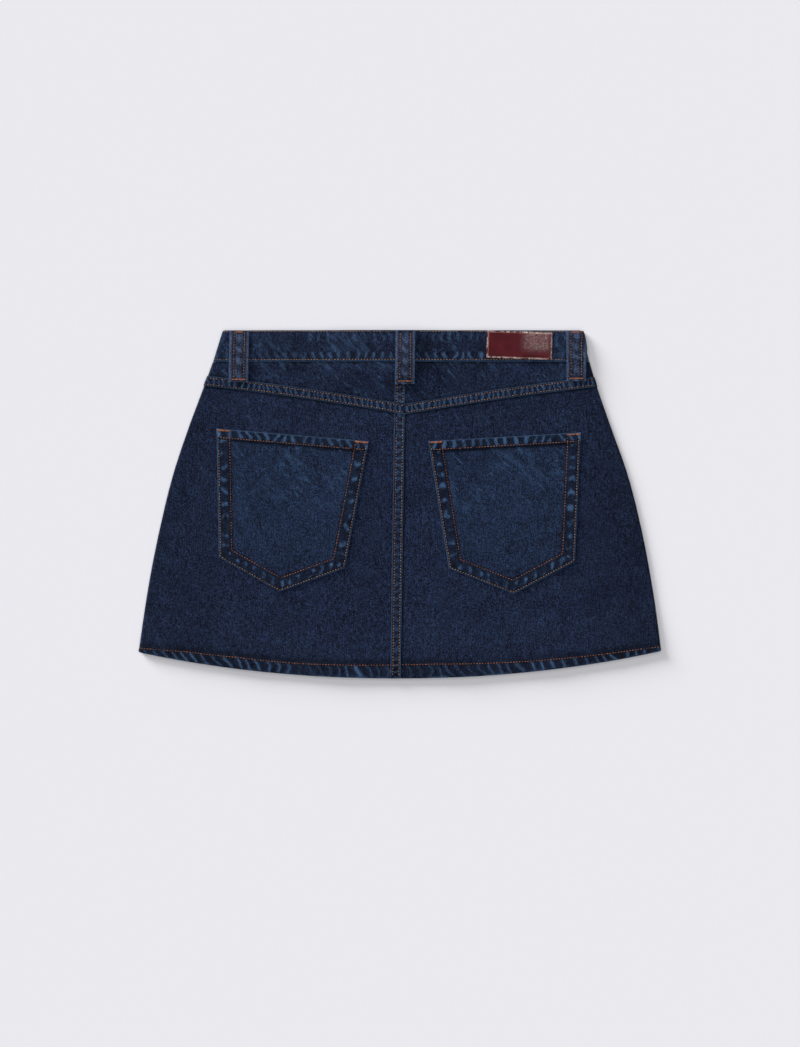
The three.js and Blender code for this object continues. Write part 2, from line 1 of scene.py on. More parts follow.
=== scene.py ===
# %% [markdown]
# # A denim mini skirt, laid flat with its back up
#
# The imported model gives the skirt's plain solids in metres. Each one that shows is replaced here
# by a finer piece that lies in the same place: cloth with ropy seams and soft creases, real
# stitches, worn edges and a glossy leather patch. The table, the lights and the camera come last.

# %% Load the frame
import math

import bpy
import numpy as np
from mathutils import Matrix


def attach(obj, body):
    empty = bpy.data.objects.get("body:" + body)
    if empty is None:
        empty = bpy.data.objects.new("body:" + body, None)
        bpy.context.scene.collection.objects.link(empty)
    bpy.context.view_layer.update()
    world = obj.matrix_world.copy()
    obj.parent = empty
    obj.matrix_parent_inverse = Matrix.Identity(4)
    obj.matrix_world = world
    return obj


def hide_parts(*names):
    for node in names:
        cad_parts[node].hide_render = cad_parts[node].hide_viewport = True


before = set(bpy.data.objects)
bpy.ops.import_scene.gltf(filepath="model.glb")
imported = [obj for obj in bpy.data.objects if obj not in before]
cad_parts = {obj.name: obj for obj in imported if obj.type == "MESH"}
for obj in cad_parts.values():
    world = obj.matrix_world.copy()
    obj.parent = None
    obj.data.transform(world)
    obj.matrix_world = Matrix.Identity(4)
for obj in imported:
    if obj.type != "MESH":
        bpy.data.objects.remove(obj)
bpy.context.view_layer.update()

# %% [markdown]
# ## The pattern
#
# A skirt is cut from flat cloth, so every later step needs the same few lines of the pattern: the
# sides, the hem, the yoke seam and the centre back seam. They are written as functions that take
# whole arrays of points, because numpy works out a hundred thousand points as easily as one.
# All sizes are in millimetres and become metres only when a mesh is made.

# %% Sizes of the skirt
MM = 0.001
LENGTH = 355.0
TOP = LENGTH / 2
BOTTOM = -LENGTH / 2
CLOTH = 1.0
SEAM_GAP = 0.3
REST_GAP = 0.3

# Down from the waist edge, and the half width on the left and on the right
SIDES = np.array([
    [0, 180.8, 185.1],
    [30, 190.3, 192.8],
    [60, 201.2, 201.9],
    [100, 216.2, 215.9],
    [150, 232.5, 233.3],
    [210, 247.0, 248.1],
    [270, 258.3, 259.0],
    [328, 266.8, 266.8],
    [355, 270.4, 270.4],
])
HEM_RISE, HEM_CENTRE, HEM_REACH, HEM_POWER = 27.3, -3.0, 266.8, 2.1
HEM_DEPTH, HEM_LAYERS, HEM_RIM = 13.0, 3, 1.2
BAND_HEIGHT, BAND_THICK, BAND_PROUD, BAND_RIM = 32.0, 3.0, 1.0, 1.0
WAIST_SEAM = TOP - BAND_HEIGHT
FELL_WIDTH, FELL_HEIGHT, FELL_EDGE, FELL_SLOPE = 11.0, 0.9, 0.5, 0.9
YOKE_CENTRE, YOKE_RISE, YOKE_REACH, YOKE_BOW = 91.5, 29.0, 203.0, 0.22


def ease(share):
    """Rises smoothly from 0 to 1."""
    s = np.clip(share, 0.0, 1.0)
    return s * s * (3 - 2 * s)


def mix(a, b, share):
    return a + (b - a) * share


def plateau(distance, reach, fade):
    """1 within reach of zero, easing to 0 over the fade beyond it."""
    return 1 - ease((np.abs(distance) - reach) / fade)


print("The skirt is", LENGTH, "mm long and", 2 * SIDES[-2, 1], "mm wide at the hem")

# %% Lines of the pattern
def side_width(column, down):
    """A smooth curve through one column of the table of sides."""
    at, value = SIDES[:, 0], SIDES[:, column]
    slope = np.empty_like(value)
    slope[1:-1] = (value[2:] - value[:-2]) / (at[2:] - at[:-2])
    slope[0] = (value[1] - value[0]) / (at[1] - at[0])
    slope[-1] = (value[-1] - value[-2]) / (at[-1] - at[-2])
    i = np.clip(np.searchsorted(at, down) - 1, 0, len(at) - 2)
    span = at[i + 1] - at[i]
    t = (down - at[i]) / span
    bend = (slope[i] * (1 - t) - slope[i + 1] * t) * span * t * (1 - t)
    return value[i] + (value[i + 1] - value[i]) * t * t * (3 - 2 * t) + bend


def side_edge(side, y):
    down = TOP - y
    return np.where(side < 0, -side_width(1, down), side_width(2, down))


def hem_line(x):
    return BOTTOM + HEM_RISE * (np.abs(x - HEM_CENTRE) / HEM_REACH) ** HEM_POWER


def centre_back(y):
    return 0.8 + 5.4 * (y - BOTTOM) / LENGTH


def yoke_line(x):
    t = np.abs(x - centre_back(YOKE_CENTRE)) / YOKE_REACH
    return YOKE_CENTRE + YOKE_RISE * ((1 + YOKE_BOW) * t - YOKE_BOW * t * t)


def hem_row(x):
    """Height of the hem's stitching above its edge."""
    return np.interp(x, [-266, -220, -165, -110, 0, 36, 149, 244, 266], [4.5, 9.8, 11.8, 11.6, 13.9, 14.2, 10.6, 6.6, 4.6])


print("Hem at its middle", round(float(hem_line(0.0)), 1), "mm, yoke point", YOKE_CENTRE, "mm")

# %% [markdown]
# ## How the cloth lies
#
# The skirt is a tube pressed flat. The back layer lies over the front one, rides up over the
# closed fly at the waist, and rolls round each side in half a circle. One function places any
# point of the back: it takes the distance across the cloth, `s`, the height on the pattern, `y`,
# and how far the point stands off the cloth. Past the flat part, `s` runs on round the side, so
# stitches and belt loops follow the roll with no extra work.

# %% Height of the layers above the table
LIE_BODY, LIE_WAIST, LIE_WAIST_FADE, LIE_HEM, LIE_HEM_FADE = 4.5, 1.4, 60.0, 2.2, 45.0
# Middle at the yoke, middle at the hem, half width and height of each soft wave
WAVES = [
    (-172, -222, 24, 0.5),
    (-128, -150, 30, 0.8),
    (-48, -66, 30, 0.9),
    (50, 62, 28, 0.7),
    (132, 158, 32, 0.9),
    (176, 226, 22, 0.5),
]
FRONT_LOOP_LENGTH = 53.0
FLY_END = WAIST_SEAM - 115.0
LAP_EDGE, LAP_RAMP, LAP_RISE, LAP_FADE, UNDERLAP = 4.0, 16.0, BAND_THICK + SEAM_GAP, 30.0, -36.0


def front_lift(x, y):
    """The stiff front waist bridges between the two front loops and the button under it."""
    below = TOP - y - FRONT_LOOP_LENGTH - 4
    return 2.3 * plateau(x, 112, 34) * (1 - ease(below / 30))


def lap_rise(x, y):
    """The right front climbs inside the left one at the closure."""
    return LAP_RISE * (1 - ease((x - LAP_EDGE - 1) / LAP_RAMP)) * (1 - ease((WAIST_SEAM - y) / LAP_FADE))


def back_lift(x, y):
    """How far the back is lifted by the closure, the fly and the bridged front waist."""
    middle = plateau(x + 16, 24, 56)
    closure = 5.2 * middle * (1 - ease((WAIST_SEAM - 4 - y) / 46))
    fly = 1.9 * middle * (1 - ease((FLY_END - 4 - y) / 34))
    waist = 1.9 * plateau(x, 112, 44) * (1 - ease((TOP - y - FRONT_LOOP_LENGTH) / 40))
    return np.sqrt(closure**2 + fly**2 + waist**2)


def wave_height(x, y):
    """Soft waves that grow from the yoke to the hem."""
    grown = np.clip((YOKE_CENTRE + YOKE_RISE - y) / (LENGTH - 60), 0, 1)
    total = 0.0
    for top, foot, width, height in WAVES:
        total = total + height * ease(grown * 1.6) * np.exp(-(((x - mix(top, foot, grown)) / width) ** 2))
    return total


def back_height(x, y):
    """Outer face of the back panels above the table, before seams and pockets."""
    at_waist = LIE_WAIST * (1 - ease((WAIST_SEAM - y) / LIE_WAIST_FADE))
    at_hem = LIE_HEM * (1 - ease((y - hem_line(x) - HEM_DEPTH) / LIE_HEM_FADE))
    edge = side_edge(np.where(x < 0, -1, 1), y)
    inside = ease((np.abs(edge) - np.abs(x) - 4) / 30)
    return LIE_BODY + at_waist + at_hem + inside * (wave_height(x, y) + back_lift(x, y))


def side_radius(side, y):
    return back_height(side_edge(side, y), y) / 2


def on_cloth(s, y, lift, proud=0.0, layer=1, rise=0.0):
    """Places points that stand `lift` off the back (layer 1) or the front (layer -1)."""
    side = np.where(s < 0, -1, 1)
    radius = side_radius(side, y) + proud / 2
    flat_end = side_edge(side, y) - side * radius
    past = np.maximum(side * (s - flat_end), 0.0) / radius
    reach = radius + lift
    x = np.where(past > 0, flat_end + side * reach * np.sin(past), s)
    flat = back_height(s, y) + proud + lift if layer > 0 else front_lift(s, y) + rise - lift
    z = np.where(past > 0, radius + layer * reach * np.cos(past), flat)
    return np.stack([x, np.broadcast_to(y, x.shape), np.maximum(z, 0.0)], axis=-1)


def side_seam(side, y, proud=0.0):
    """Distance across the cloth at which the back meets the front."""
    radius = side_radius(side, y) + proud / 2
    return side_edge(side, y) + side * radius * (math.pi / 2 - 1)


print("Back layer at the middle of the waist:", round(float(back_height(-16.0, 150.0)), 1), "mm up")

# %% [markdown]
# ## Random but repeatable unevenness
#
# Denim is never smooth. Washing shrinks the stitching, and the cloth along it twists into slanting
# ridges that sewers call roping; the ridges rub pale and the hollows stay dark. Both the shape and
# the colour come from the same numbers here, so a pale streak always sits on a raised ridge. The
# bumps are blended from a seeded table of random numbers, so each run gives the same skirt.

# %% Bumps, creases and roping
def bumps(x, y, across, along, seed, turn=0.0):
    """Smooth random bumps from -1 to 1, across by along mm in size and turned by some degrees."""
    table = np.random.default_rng(seed).uniform(-1, 1, (256, 256))
    angle = math.radians(turn)
    u = (x * math.cos(angle) + y * math.sin(angle)) / across
    v = (y * math.cos(angle) - x * math.sin(angle)) / along
    i, j = np.floor(u).astype(int), np.floor(v).astype(int)
    fu, fv = ease(u - i), ease(v - j)
    low = mix(table[i % 256, j % 256], table[(i + 1) % 256, j % 256], fu)
    high = mix(table[i % 256, (j + 1) % 256], table[(i + 1) % 256, (j + 1) % 256], fu)
    return mix(low, high, fv)


def creases(x, y, across, along, seed, turn, share=0.5):
    """Thin ridges from 0 to 1 along one direction, on about a given share of the cloth."""
    ridge = 1 - np.abs(bumps(x, y, across, along, seed, turn)) * 3
    patch = bumps(x, y, along, along, seed + 1) + 2 * share - 1
    return np.clip(ridge, 0, 1) ** 1.5 * np.clip(patch * 1.6, 0, 1)


def roping(along, across, period, slant, seed):
    """Uneven slanting ridges from -1 to 1 along a seam."""
    wander = bumps(along, across, period * 1.6, 8, seed) * period * 0.42
    strength = 0.75 + 0.25 * bumps(along, across * 0, period * 2.3, 9, seed + 1)
    return strength * np.sin(2 * math.pi * (along + slant * across + wander) / period)


def line(distance, width):
    return np.exp(-((distance / width) ** 2))


def strip(distance, low, high, soft=0.6):
    """1 between two distances, with soft ends."""
    return ease((distance - low) / soft + 0.5) * ease((high - distance) / soft + 0.5)


def look(relief=0.0, wear=0.0, deep=0.0, creased=0.0):
    """Relief in mm, then three marks from 0 to 1: wear with some painted highlight, darkness from dye and painted
    shade, and creases; stacked so that several looks can be added.
    """
    return np.stack(np.broadcast_arrays(relief, wear, deep, creased)).astype(float)


def stitch_groove(distance, where=1.0):
    """The hollow that a row of stitching pulls into the cloth, with painted shade in it."""
    return look(-0.24 * line(distance, 0.7) * where, 0.0, 0.75 * line(distance, 0.85) * where)


sample = bumps(np.linspace(0, 500, 2000), np.zeros(2000), 9, 9, 3)
print("Bumps run from", round(float(sample.min()), 2), "to", round(float(sample.max()), 2))

# %% [markdown]
# ## Seams in relief
#
# A flat-felled seam folds two edges into each other, so it stands up as a strip with one folded
# edge and two rows of stitching. The profile below is the same on the yoke seam and on the centre
# back seam: a step at the fold, a flat top and a slope on the far side. Each function gives the
# height of the cloth in millimetres and three marks from 0 to 1: how worn it is, with a painted
# highlight along folded edges; how dark it is, from unworn dye and from painted shade in grooves
# and beside folds; and how creased it is.

# %% Profiles of the seams
CENTRE_ROWS = (2.0, 8.3)
YOKE_ROWS = (2.2, 8.7)


def fell(distance):
    at_edge = mix(FELL_EDGE, FELL_HEIGHT, np.clip(distance / FELL_SLOPE, 0, 1))
    height = np.minimum(at_edge, FELL_HEIGHT * (FELL_WIDTH - distance) / FELL_SLOPE)
    return np.where((distance < 0) | (distance > FELL_WIDTH), 0.0, height)


def felled_seam(distance, along, rows, period, seed, worn):
    """Look of a felled seam, by distance from its folded edge."""
    on_top = strip(distance, 0, FELL_WIDTH - 0.5)
    rope = roping(along, distance, period, 0.12, seed)
    bars = strip(distance, rows[0] + 0.3, rows[1] - 0.3) * np.clip(0.15 + rope * 1.1, 0, 1) ** 1.3
    # Pale lines along the fold and along the far edge: faded cloth with a painted highlight.
    edges = 0.7 * line(distance - 0.45, 0.7) + 0.45 * line(distance - FELL_WIDTH + 0.7, 0.7)
    # Between the pale bars the cloth stays dark: unworn dye with painted shade.
    seam = look(0.14 * rope, edges + worn * bars, 0.4 * (1 - bars))
    return look(fell(distance)) + on_top * (seam + sum(stitch_groove(distance - row) for row in rows))


def centre_seam(s, y):
    return felled_seam(centre_back(y) - s, y, CENTRE_ROWS, 7.5, 21, 0.35 + 0.25 * ease((y + 60) / 120))


def yoke_seam(s, y):
    return felled_seam(y - yoke_line(s), s, YOKE_ROWS, 5.6, 23, 0.75)


def turned_hem(s, y):
    """Look of the hem: slanting ropes under one row of stitching, and a shallow hollow over it with painted shade in
    it.
    """
    above = y - hem_line(s)
    row = hem_row(s)
    on_hem = strip(above, -2, row + 0.6)
    rope = roping(s, above, 10.4, 0.5, 31)
    ridge = np.clip(rope, 0, 1) ** 3 * strip(above, 0.3, row - 1.0, 2.0)
    # A pale line along the bottom edge: faded cloth with a painted highlight.
    low_edge = line(above - 0.7, 0.8) * np.clip(0.4 + 0.6 * bumps(s, y * 0, 9, 9, 33), 0, 1)
    # Painted shade in the shallow hollow above the row of stitching.
    hollow = line(above - row - 3.0, 2.6) * (0.55 + 0.45 * plateau(s + 70, 90, 60))
    rolled = look(0.38 * rope + 0.1, ridge + 0.8 * low_edge, 0.6 * (1 - ridge))
    return on_hem * rolled + stitch_groove(above - row) + look(-0.2 * hollow, 0.0, 0.8 * hollow)


def crumple(s, y, seed, amount=1.0):
    """The soft unevenness of washed cloth."""
    small = bumps(s, y, 8, 10, seed + 1)
    relief = 0.16 * bumps(s, y, 24, 30, seed) + 0.09 * small + 0.04 * bumps(s, y, 3.6, 4.4, seed + 2)
    wear = 0.04 * small + 0.03 * bumps(s, y, 30, 60, seed + 3)
    return amount * look(relief, wear)


print("A felled seam stands", FELL_HEIGHT, "mm up and is", FELL_WIDTH, "mm wide")

# %% [markdown]
# ## Shader maths as plain expressions
#
# A finish is a tree of nodes. Placing hundreds of Math nodes one by one is hard to read, so a small
# class wraps a socket and lets it be added and multiplied like a number: `1 - mask` adds a Subtract
# node by itself. Colours go through Mix nodes, because a Math node would turn them grey.

# %% A socket that can be used in sums, and a finish that holds the nodes
class Wire:
    """A socket in a finish, with arithmetic that adds Math nodes."""

    def __init__(self, finish, socket):
        self.finish = finish
        self.socket = socket

    def maths(self, operation, *values):
        inputs = dict(enumerate([self, *values]))
        return self.finish.node("Math", {"operation": operation}, inputs)

    def __add__(self, other):
        return self.maths("ADD", other)

    __radd__ = __add__

    def __mul__(self, other):
        return self.maths("MULTIPLY", other)

    __rmul__ = __mul__

    def __sub__(self, other):
        return self.maths("SUBTRACT", other)

    def __rsub__(self, other):
        return self.finish.node("Math", {"operation": "SUBTRACT"}, {0: other, 1: self})

    def clamped(self):
        return self.finish.node("Clamp", {}, {"Value": self})


class Finish:
    """A material, its Principled shader and the methods that add nodes."""

    def __init__(self, name):
        self.material = bpy.data.materials.new(name)
        self.material.use_nodes = True
        self.tree = self.material.node_tree
        self.shader = self.tree.nodes["Principled BSDF"]

    def feed(self, socket, value):
        if isinstance(value, Wire):
            self.tree.links.new(value.socket, socket)
        else:
            socket.default_value = value

    def node(self, kind, settings=None, inputs=None, output=0):
        made = self.tree.nodes.new("ShaderNode" + kind)
        for name, value in (settings or {}).items():
            if name == "stops":
                self.set_stops(made.color_ramp, value)
            else:
                setattr(made, name, value)
        for key, value in (inputs or {}).items():
            self.feed(made.inputs[key], value)
        return Wire(self, made.outputs[output])

    def set_stops(self, ramp, stops):
        while len(ramp.elements) < len(stops):
            ramp.elements.new(0.5)
        for element, (place, colour) in zip(ramp.elements, stops):
            element.position = place
            element.color = colour

    def set(self, **values):
        for name, value in values.items():
            self.feed(self.shader.inputs[name.replace("_", " ")], value)

    def blend(self, low, high, amount):
        return self.node("Mix", {"data_type": "RGBA"}, {0: amount, 6: low, 7: high}, output=2)

    def place_mm(self):
        metres = self.node("TexCoord", output="Object")
        return self.node("VectorMath", {"operation": "SCALE"}, {0: metres, "Scale": 1000.0})

    def noise(self, place, scale, detail=2.0, rough=0.5, stretch=(1, 1, 1), turn=0.0, distortion=0.0):
        turned = self.node("Mapping", {}, {"Vector": place, "Rotation": (0, 0, math.radians(turn))})
        spread_out = self.node("Mapping", {}, {"Vector": turned, "Scale": stretch})
        inputs = {"Vector": spread_out, "Scale": scale, "Detail": detail, "Roughness": rough}
        return self.node("TexNoise", {}, {**inputs, "Distortion": distortion})

    def bump(self, height, strength, distance_mm):
        inputs = {"Height": height, "Strength": strength, "Distance": distance_mm * MM}
        self.set(Normal=self.node("Bump", {}, inputs))


def paint(red, green, blue):
    """A colour as a screen shows it, from 0 to 255, made linear for the shader."""
    return tuple((v / 255 / 12.92 if v <= 10 else ((v / 255 + 0.055) / 1.055) ** 2.4) for v in (red, green, blue)) + (1.0,)


print("Plain indigo is", [round(v, 4) for v in paint(28, 36, 57)])

# %% [markdown]
# ## Denim
#
# Denim is a twill: indigo threads run up the cloth and pale ones run across, and show as tiny
# flecks. From a step away that reads as short upright streaks, a fine grain and slow cloudy
# patches. All of them shift one value, and a colour ramp turns it from near-black indigo to a
# greyer blue. The `wear` that each mesh carries then rubs the colour towards pale blue; along
# some folded edges that pale line is partly a painted highlight. A second mark darkens the
# colour: unworn dye in the hollows of the ropes, and painted shade in stitch grooves, beside
# raised seams, under folds and towards the sides. The sheen and the low specular are set on
# the shader itself.

# %% The denim finishes
def make_denim(name, plain, worn, cloudy):
    cloth = Finish(name)
    place = cloth.place_mm()
    wear, deep, creased = (
        cloth.node("Attribute", {"attribute_name": mark}, output="Fac") for mark in ("wear", "deep", "creased")
    )

    upright = cloth.noise(place, 1.0, 1.0, 0.5, stretch=(1, 0.12, 1)) - 0.5
    crosswise = cloth.noise(place, 0.9, 0.0, 0.5, stretch=(0.3, 1, 1)) - 0.5
    slanted = cloth.noise(place, 1.2, 1.0, 0.7, turn=-32, stretch=(1, 0.4, 1)) - 0.5
    grain = cloth.noise(place, 1.6, 1.0, 0.9) - 0.5
    cloud = cloth.noise(place, 0.03, 2.0, 0.6) - 0.5
    scratch = cloth.noise(place, 0.45, 1.0, 0.5, turn=-46, stretch=(1, 0.2, 1), distortion=0.5)
    scratched = (scratch * 10 - 6.3).clamped() * (0.05 + creased * 0.3)

    value = 0.42 + upright * 1.0 + crosswise * 0.5 + slanted * 1.9 + grain * 3.4 + cloud * cloudy
    bright = (plain[0] * 2.0, plain[1] * 2.0, plain[2] * 1.85)
    ramp = [(0.0, paint(*[c * 0.35 for c in plain])), (0.45, paint(*plain)), (1.0, paint(*bright))]
    indigo = cloth.node("ValToRGB", {"stops": ramp}, {"Fac": value.clamped()})
    # Darker where the second mark is: unworn dye in rope hollows, and painted shade in stitch grooves, beside raised
    # seams, under folds and towards the sides.
    shaded = cloth.blend(indigo, paint(*[c * 0.38 for c in plain]), (deep * 0.85).clamped())
    rubbed = ((wear + scratched) * (0.8 + grain * 2.4 + slanted * 1.6)).clamped()
    cloth.set(Base_Color=cloth.blend(shaded, paint(*worn), rubbed))

    across = cloth.node("SeparateXYZ", {}, {"Vector": place}, output="X")
    upward = cloth.node("SeparateXYZ", {}, {"Vector": place}, output="Y")
    twill = ((across * 1.6 - upward) * 4.2).maths("SINE")
    cloth.bump(twill * 0.2 + slanted * 1.0 + grain * 0.9 + upright * 0.7 + scratched * 0.5, 0.55, 0.4)
    cloth.set(Roughness=0.92, Specular_IOR_Level=0.08, Sheen_Weight=0.03, Sheen_Roughness=0.5)
    return cloth.material


DENIM = make_denim("washed_indigo_denim", (22, 29, 49), (66, 92, 126), 0.3)
POCKET_DENIM = make_denim("pocket_denim", (22, 30, 50), (64, 92, 128), 0.3)
LOOP_DENIM = make_denim("belt_loop_denim", (38, 46, 68), (82, 100, 130), 0.35)
print("Denim finishes:", [m.name for m in (DENIM, POCKET_DENIM, LOOP_DENIM)])

# %% [markdown]
# ## Thread, leather and metal
#
# The stitches are real little meshes, so their finish only needs a twist and a dusty change of
# colour. Some rows are orange and some are beige, and each stitch carries a `tint` that says which.
# The patch is smooth leather with a clear glossy coat, darker in its grain, with pale glints
# painted along its edges and over its right end. Metal and zip tape hide inside the fly and under
# the waist, but they show from below.

# %% Finishes of the trimmings
def make_thread():
    thread = Finish("top_stitch_thread")
    place = thread.place_mm()
    tint = thread.node("Attribute", {"attribute_name": "tint"}, output="Fac")
    colour = thread.blend(paint(172, 98, 52), paint(172, 148, 118), tint)
    dust = thread.noise(place, 0.4, 2.0)
    thread.set(Base_Color=thread.blend(colour, paint(48, 40, 46), (dust * 4 - 1.75).clamped()))
    strands = thread.noise(place, 3.0, 2.0, stretch=(1, 0.4, 1), turn=30)
    thread.bump(strands, 0.5, 0.15)
    thread.set(Roughness=0.6, Specular_IOR_Level=0.25)
    return thread.material


def make_leather():
    leather = Finish("burgundy_leather")
    place = leather.place_mm()
    painted_glints = leather.node("Attribute", {"attribute_name": "wear"}, output="Fac")
    pores = leather.node("TexVoronoi", {"feature": "F1"}, {"Vector": place, "Scale": 1.1})
    cloud = leather.noise(place, 0.09, 3.0)
    flecks = leather.noise(place, 1.5, 2.0, 0.7)
    colour = leather.blend(paint(58, 6, 16), paint(82, 12, 24), (cloud * 2 - 0.5).clamped())
    # Pale flecks painted where the mark is: glints along the patch's edges and a highlight on its right end.
    colour = leather.blend(colour, paint(226, 208, 206), (painted_glints * (flecks * 24 - 11.4)).clamped())
    leather.set(Base_Color=colour)
    leather.bump(pores * 0.35 + flecks * 0.8 + cloud * 1.2, 0.5, 0.25)
    leather.set(Roughness=(0.24 + flecks * 0.22), Specular_IOR_Level=0.3, Coat_Weight=0.15, Coat_Roughness=0.1)
    return leather.material


def make_metal():
    metal = Finish("antique_copper")
    place = metal.place_mm()
    tarnish = metal.noise(place, 0.6, 4.0, 0.65)
    colour = metal.blend(paint(150, 92, 58), paint(58, 42, 36), (tarnish * 2.4 - 0.8).clamped())
    metal.set(Base_Color=colour, Metallic=1.0, Roughness=(0.25 + tarnish * 0.35))
    metal.bump(tarnish, 0.3, 0.1)
    return metal.material


def make_zip():
    tape = Finish("zip_tape_and_teeth")
    place = tape.place_mm()
    across = tape.node("SeparateXYZ", {}, {"Vector": place}, output="X")
    along = tape.node("SeparateXYZ", {}, {"Vector": place}, output="Y")
    chain = tape.node("Math", {"operation": "LESS_THAN"}, {0: (across + 14).maths("ABSOLUTE"), 1: 2.6})
    ribs = (along * 2.6).maths("SINE")
    weave = tape.noise(place, 1.2, 2.0, stretch=(1, 0.3, 1))
    cloth_colour = tape.blend(paint(20, 26, 42), paint(34, 42, 62), weave)
    metal_colour = tape.blend(paint(60, 44, 30), paint(176, 140, 88), (ribs * 0.5 + 0.5).clamped())
    tape.set(Base_Color=tape.blend(cloth_colour, metal_colour, chain), Metallic=chain * 0.9)
    tape.set(Roughness=(0.85 - chain * 0.5))
    tape.bump(ribs * chain + weave * 0.4, 0.6, 0.3)
    return tape.material


THREAD, LEATHER, METAL, ZIP = make_thread(), make_leather(), make_metal(), make_zip()
print("Trimming finishes:", [m.name for m in (THREAD, LEATHER, METAL, ZIP)])

# %% [markdown]
# ## From a grid of points to a piece of cloth
#
# Every piece is a wall: a grid of points for its outer face, the same grid pushed in for its inner
# face, and a rim that joins them, so the mesh is closed like real cloth with thickness. The grid is
# finer beside stitching, where the cloth bends most. Three marks of each point ride on the mesh as
# attributes, which the denim reads, and the leather reads the first: how worn it is, which along some
# folded edges is partly a painted highlight and on the leather patch is painted glints; how dark it
# is, from unworn dye and from painted shade; and how creased it is.

# %% Building a closed wall
def quads(a, b, c, d):
    return np.stack([a, b, c, d], axis=-1).reshape(-1, 4)


def wall_faces(rows, columns):
    face = np.arange(rows * columns).reshape(rows, columns)
    under = face + rows * columns
    return np.concatenate([
        quads(face[:-1, :-1], face[:-1, 1:], face[1:, 1:], face[1:, :-1]),
        quads(under[:-1, :-1], under[1:, :-1], under[1:, 1:], under[:-1, 1:]),
        quads(face[:-1, 0], face[1:, 0], under[1:, 0], under[:-1, 0]),
        quads(face[:-1, -1], under[:-1, -1], under[1:, -1], face[1:, -1]),
        quads(face[0, :-1], under[0, :-1], under[0, 1:], face[0, 1:]),
        quads(face[-1, :-1], face[-1, 1:], under[-1, 1:], under[-1, :-1]),
    ])


def add_mesh(name, points, faces, finish, marks):
    """A smooth-shaded mesh object with some numbers stored on its points."""
    mesh = bpy.data.meshes.new(name)
    mesh.from_pydata((points * MM).tolist(), [], faces.tolist())
    for key, values in marks.items():
        mesh.attributes.new(key, "FLOAT", "POINT").data.foreach_set("value", values.astype(np.float32))
    mesh.materials.append(finish)
    mesh.shade_smooth()
    mesh.set_sharp_from_angle(angle=math.radians(52))
    piece = bpy.data.objects.new(name, mesh)
    bpy.context.scene.collection.objects.link(piece)
    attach(piece, "root")
    return piece


def add_wall(name, outer, inner, finish, looks):
    """A closed piece of cloth between an outer and an inner grid of points."""
    rows, columns = outer.shape[:2]
    points = np.concatenate([outer.reshape(-1, 3), inner.reshape(-1, 3)])
    faces = wall_faces(rows, columns)
    corners = points[faces]
    turn = np.cross(corners[:, 1] - corners[:, 0], corners[:, 2] - corners[:, 0])
    if (corners[:, 0] * turn).sum() < 0:
        faces = faces[:, ::-1]
    # The wear mark also holds painted highlights and glints; the second mark is dark dye and painted shade.
    names = ("wear", "deep", "creased")
    marks = {key: np.tile(np.clip(values, 0, 1).ravel(), 2) for key, values in zip(names, looks[1:])}
    piece = add_mesh(name, points, faces, finish, marks)
    print(name, len(points), "points, widest", round(float(np.ptp(outer[..., 0])), 1), "mm")
    return piece


def declare_cloth(piece, node, s, y, with_pieces=()):
    """Hides the CAD node that the piece stands for, and works out the size that its cloth was cut to, which nothing
    uses.
    """
    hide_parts(node)
    across, up = np.ptp(s) * MM, np.ptp(y) * MM


def spread(low, high, first, count, last):
    """Rows from low to high: set distances near each end, and even steps between them."""
    first, last = np.array(first)[:, None], np.array(last)[:, None]
    steps = (np.arange(1, count) / count)[:, None]
    start, end = low + first[-1], high - last[-1]
    return np.concatenate([low + first, mix(start, end, steps), (high - last)[::-1]])


def panel_grid(side, inner, inner_stops, columns, lines, low_stops, rows, high_stops):
    """(s, y) of a panel from its side seam to an inner line, between a low and a high line."""
    seam_stops = SEAM_GAP / 2 + np.array([0, 0.8, 1.6, 2.4, 3.2, 4.0, 4.8, 5.6])
    shares = np.arange(1, columns) / columns
    inner_stops = np.array(inner_stops)[::-1]
    cuts = [len(seam_stops), len(seam_stops) + len(shares)]
    total = cuts[1] + len(inner_stops)

    def s_at(y):
        at_seam, between, at_inner = np.split(y, cuts, axis=-1)
        start = side_seam(side, between) - side * seam_stops[-1]
        end = inner(between) + side * inner_stops[0]
        parts = [side_seam(side, at_seam) - side * seam_stops, mix(start, end, shares), inner(at_inner) + side * inner_stops]
        return np.concatenate(parts, axis=-1)

    def meet(edge):
        y = np.zeros(total)
        for _ in range(12):
            y = edge(s_at(y))
        return y

    y = spread(meet(lines[0]), meet(lines[1]), low_stops, rows, high_stops)
    return s_at(y), y


FINE = list(np.arange(0, 13.5, 0.55))
print("Beside a seam the points are", FINE[1], "mm apart")

# %% [markdown]
# ## Stitches
#
# One stitch is a short length of thread that dives into the cloth at both ends. A spindle with six
# sides is enough at this size. All the stitches of a piece are made at once by moving the spindle
# to each place along the rows and are kept in one mesh. A bar tack is a dense row of short
# threads laid across its own direction.

# %% Spindles along a row
RING = [(math.cos(a), math.sin(a)) for a in np.arange(6) * math.pi / 3]
SPINDLE = np.array(
    [[-1, 0, 0]] + [[at, w * c, w * h] for at, w in ((-0.62, 0.8), (0, 1), (0.62, 0.8)) for c, h in RING] + [[1, 0, 0]]
)


def spindle_faces():
    faces = []
    for k in range(6):
        n = (k + 1) % 6
        faces.append([0, 1 + n, 1 + k, 1 + k])
        faces += [[1 + r * 6 + k, 1 + r * 6 + n, 7 + r * 6 + n, 7 + r * 6 + k] for r in range(2)]
        faces.append([13 + k, 13 + n, 19, 19])
    return np.array(faces)


SPINDLE_FACES = [[v for i, v in enumerate(f) if v not in f[:i]] for f in spindle_faces().tolist()]


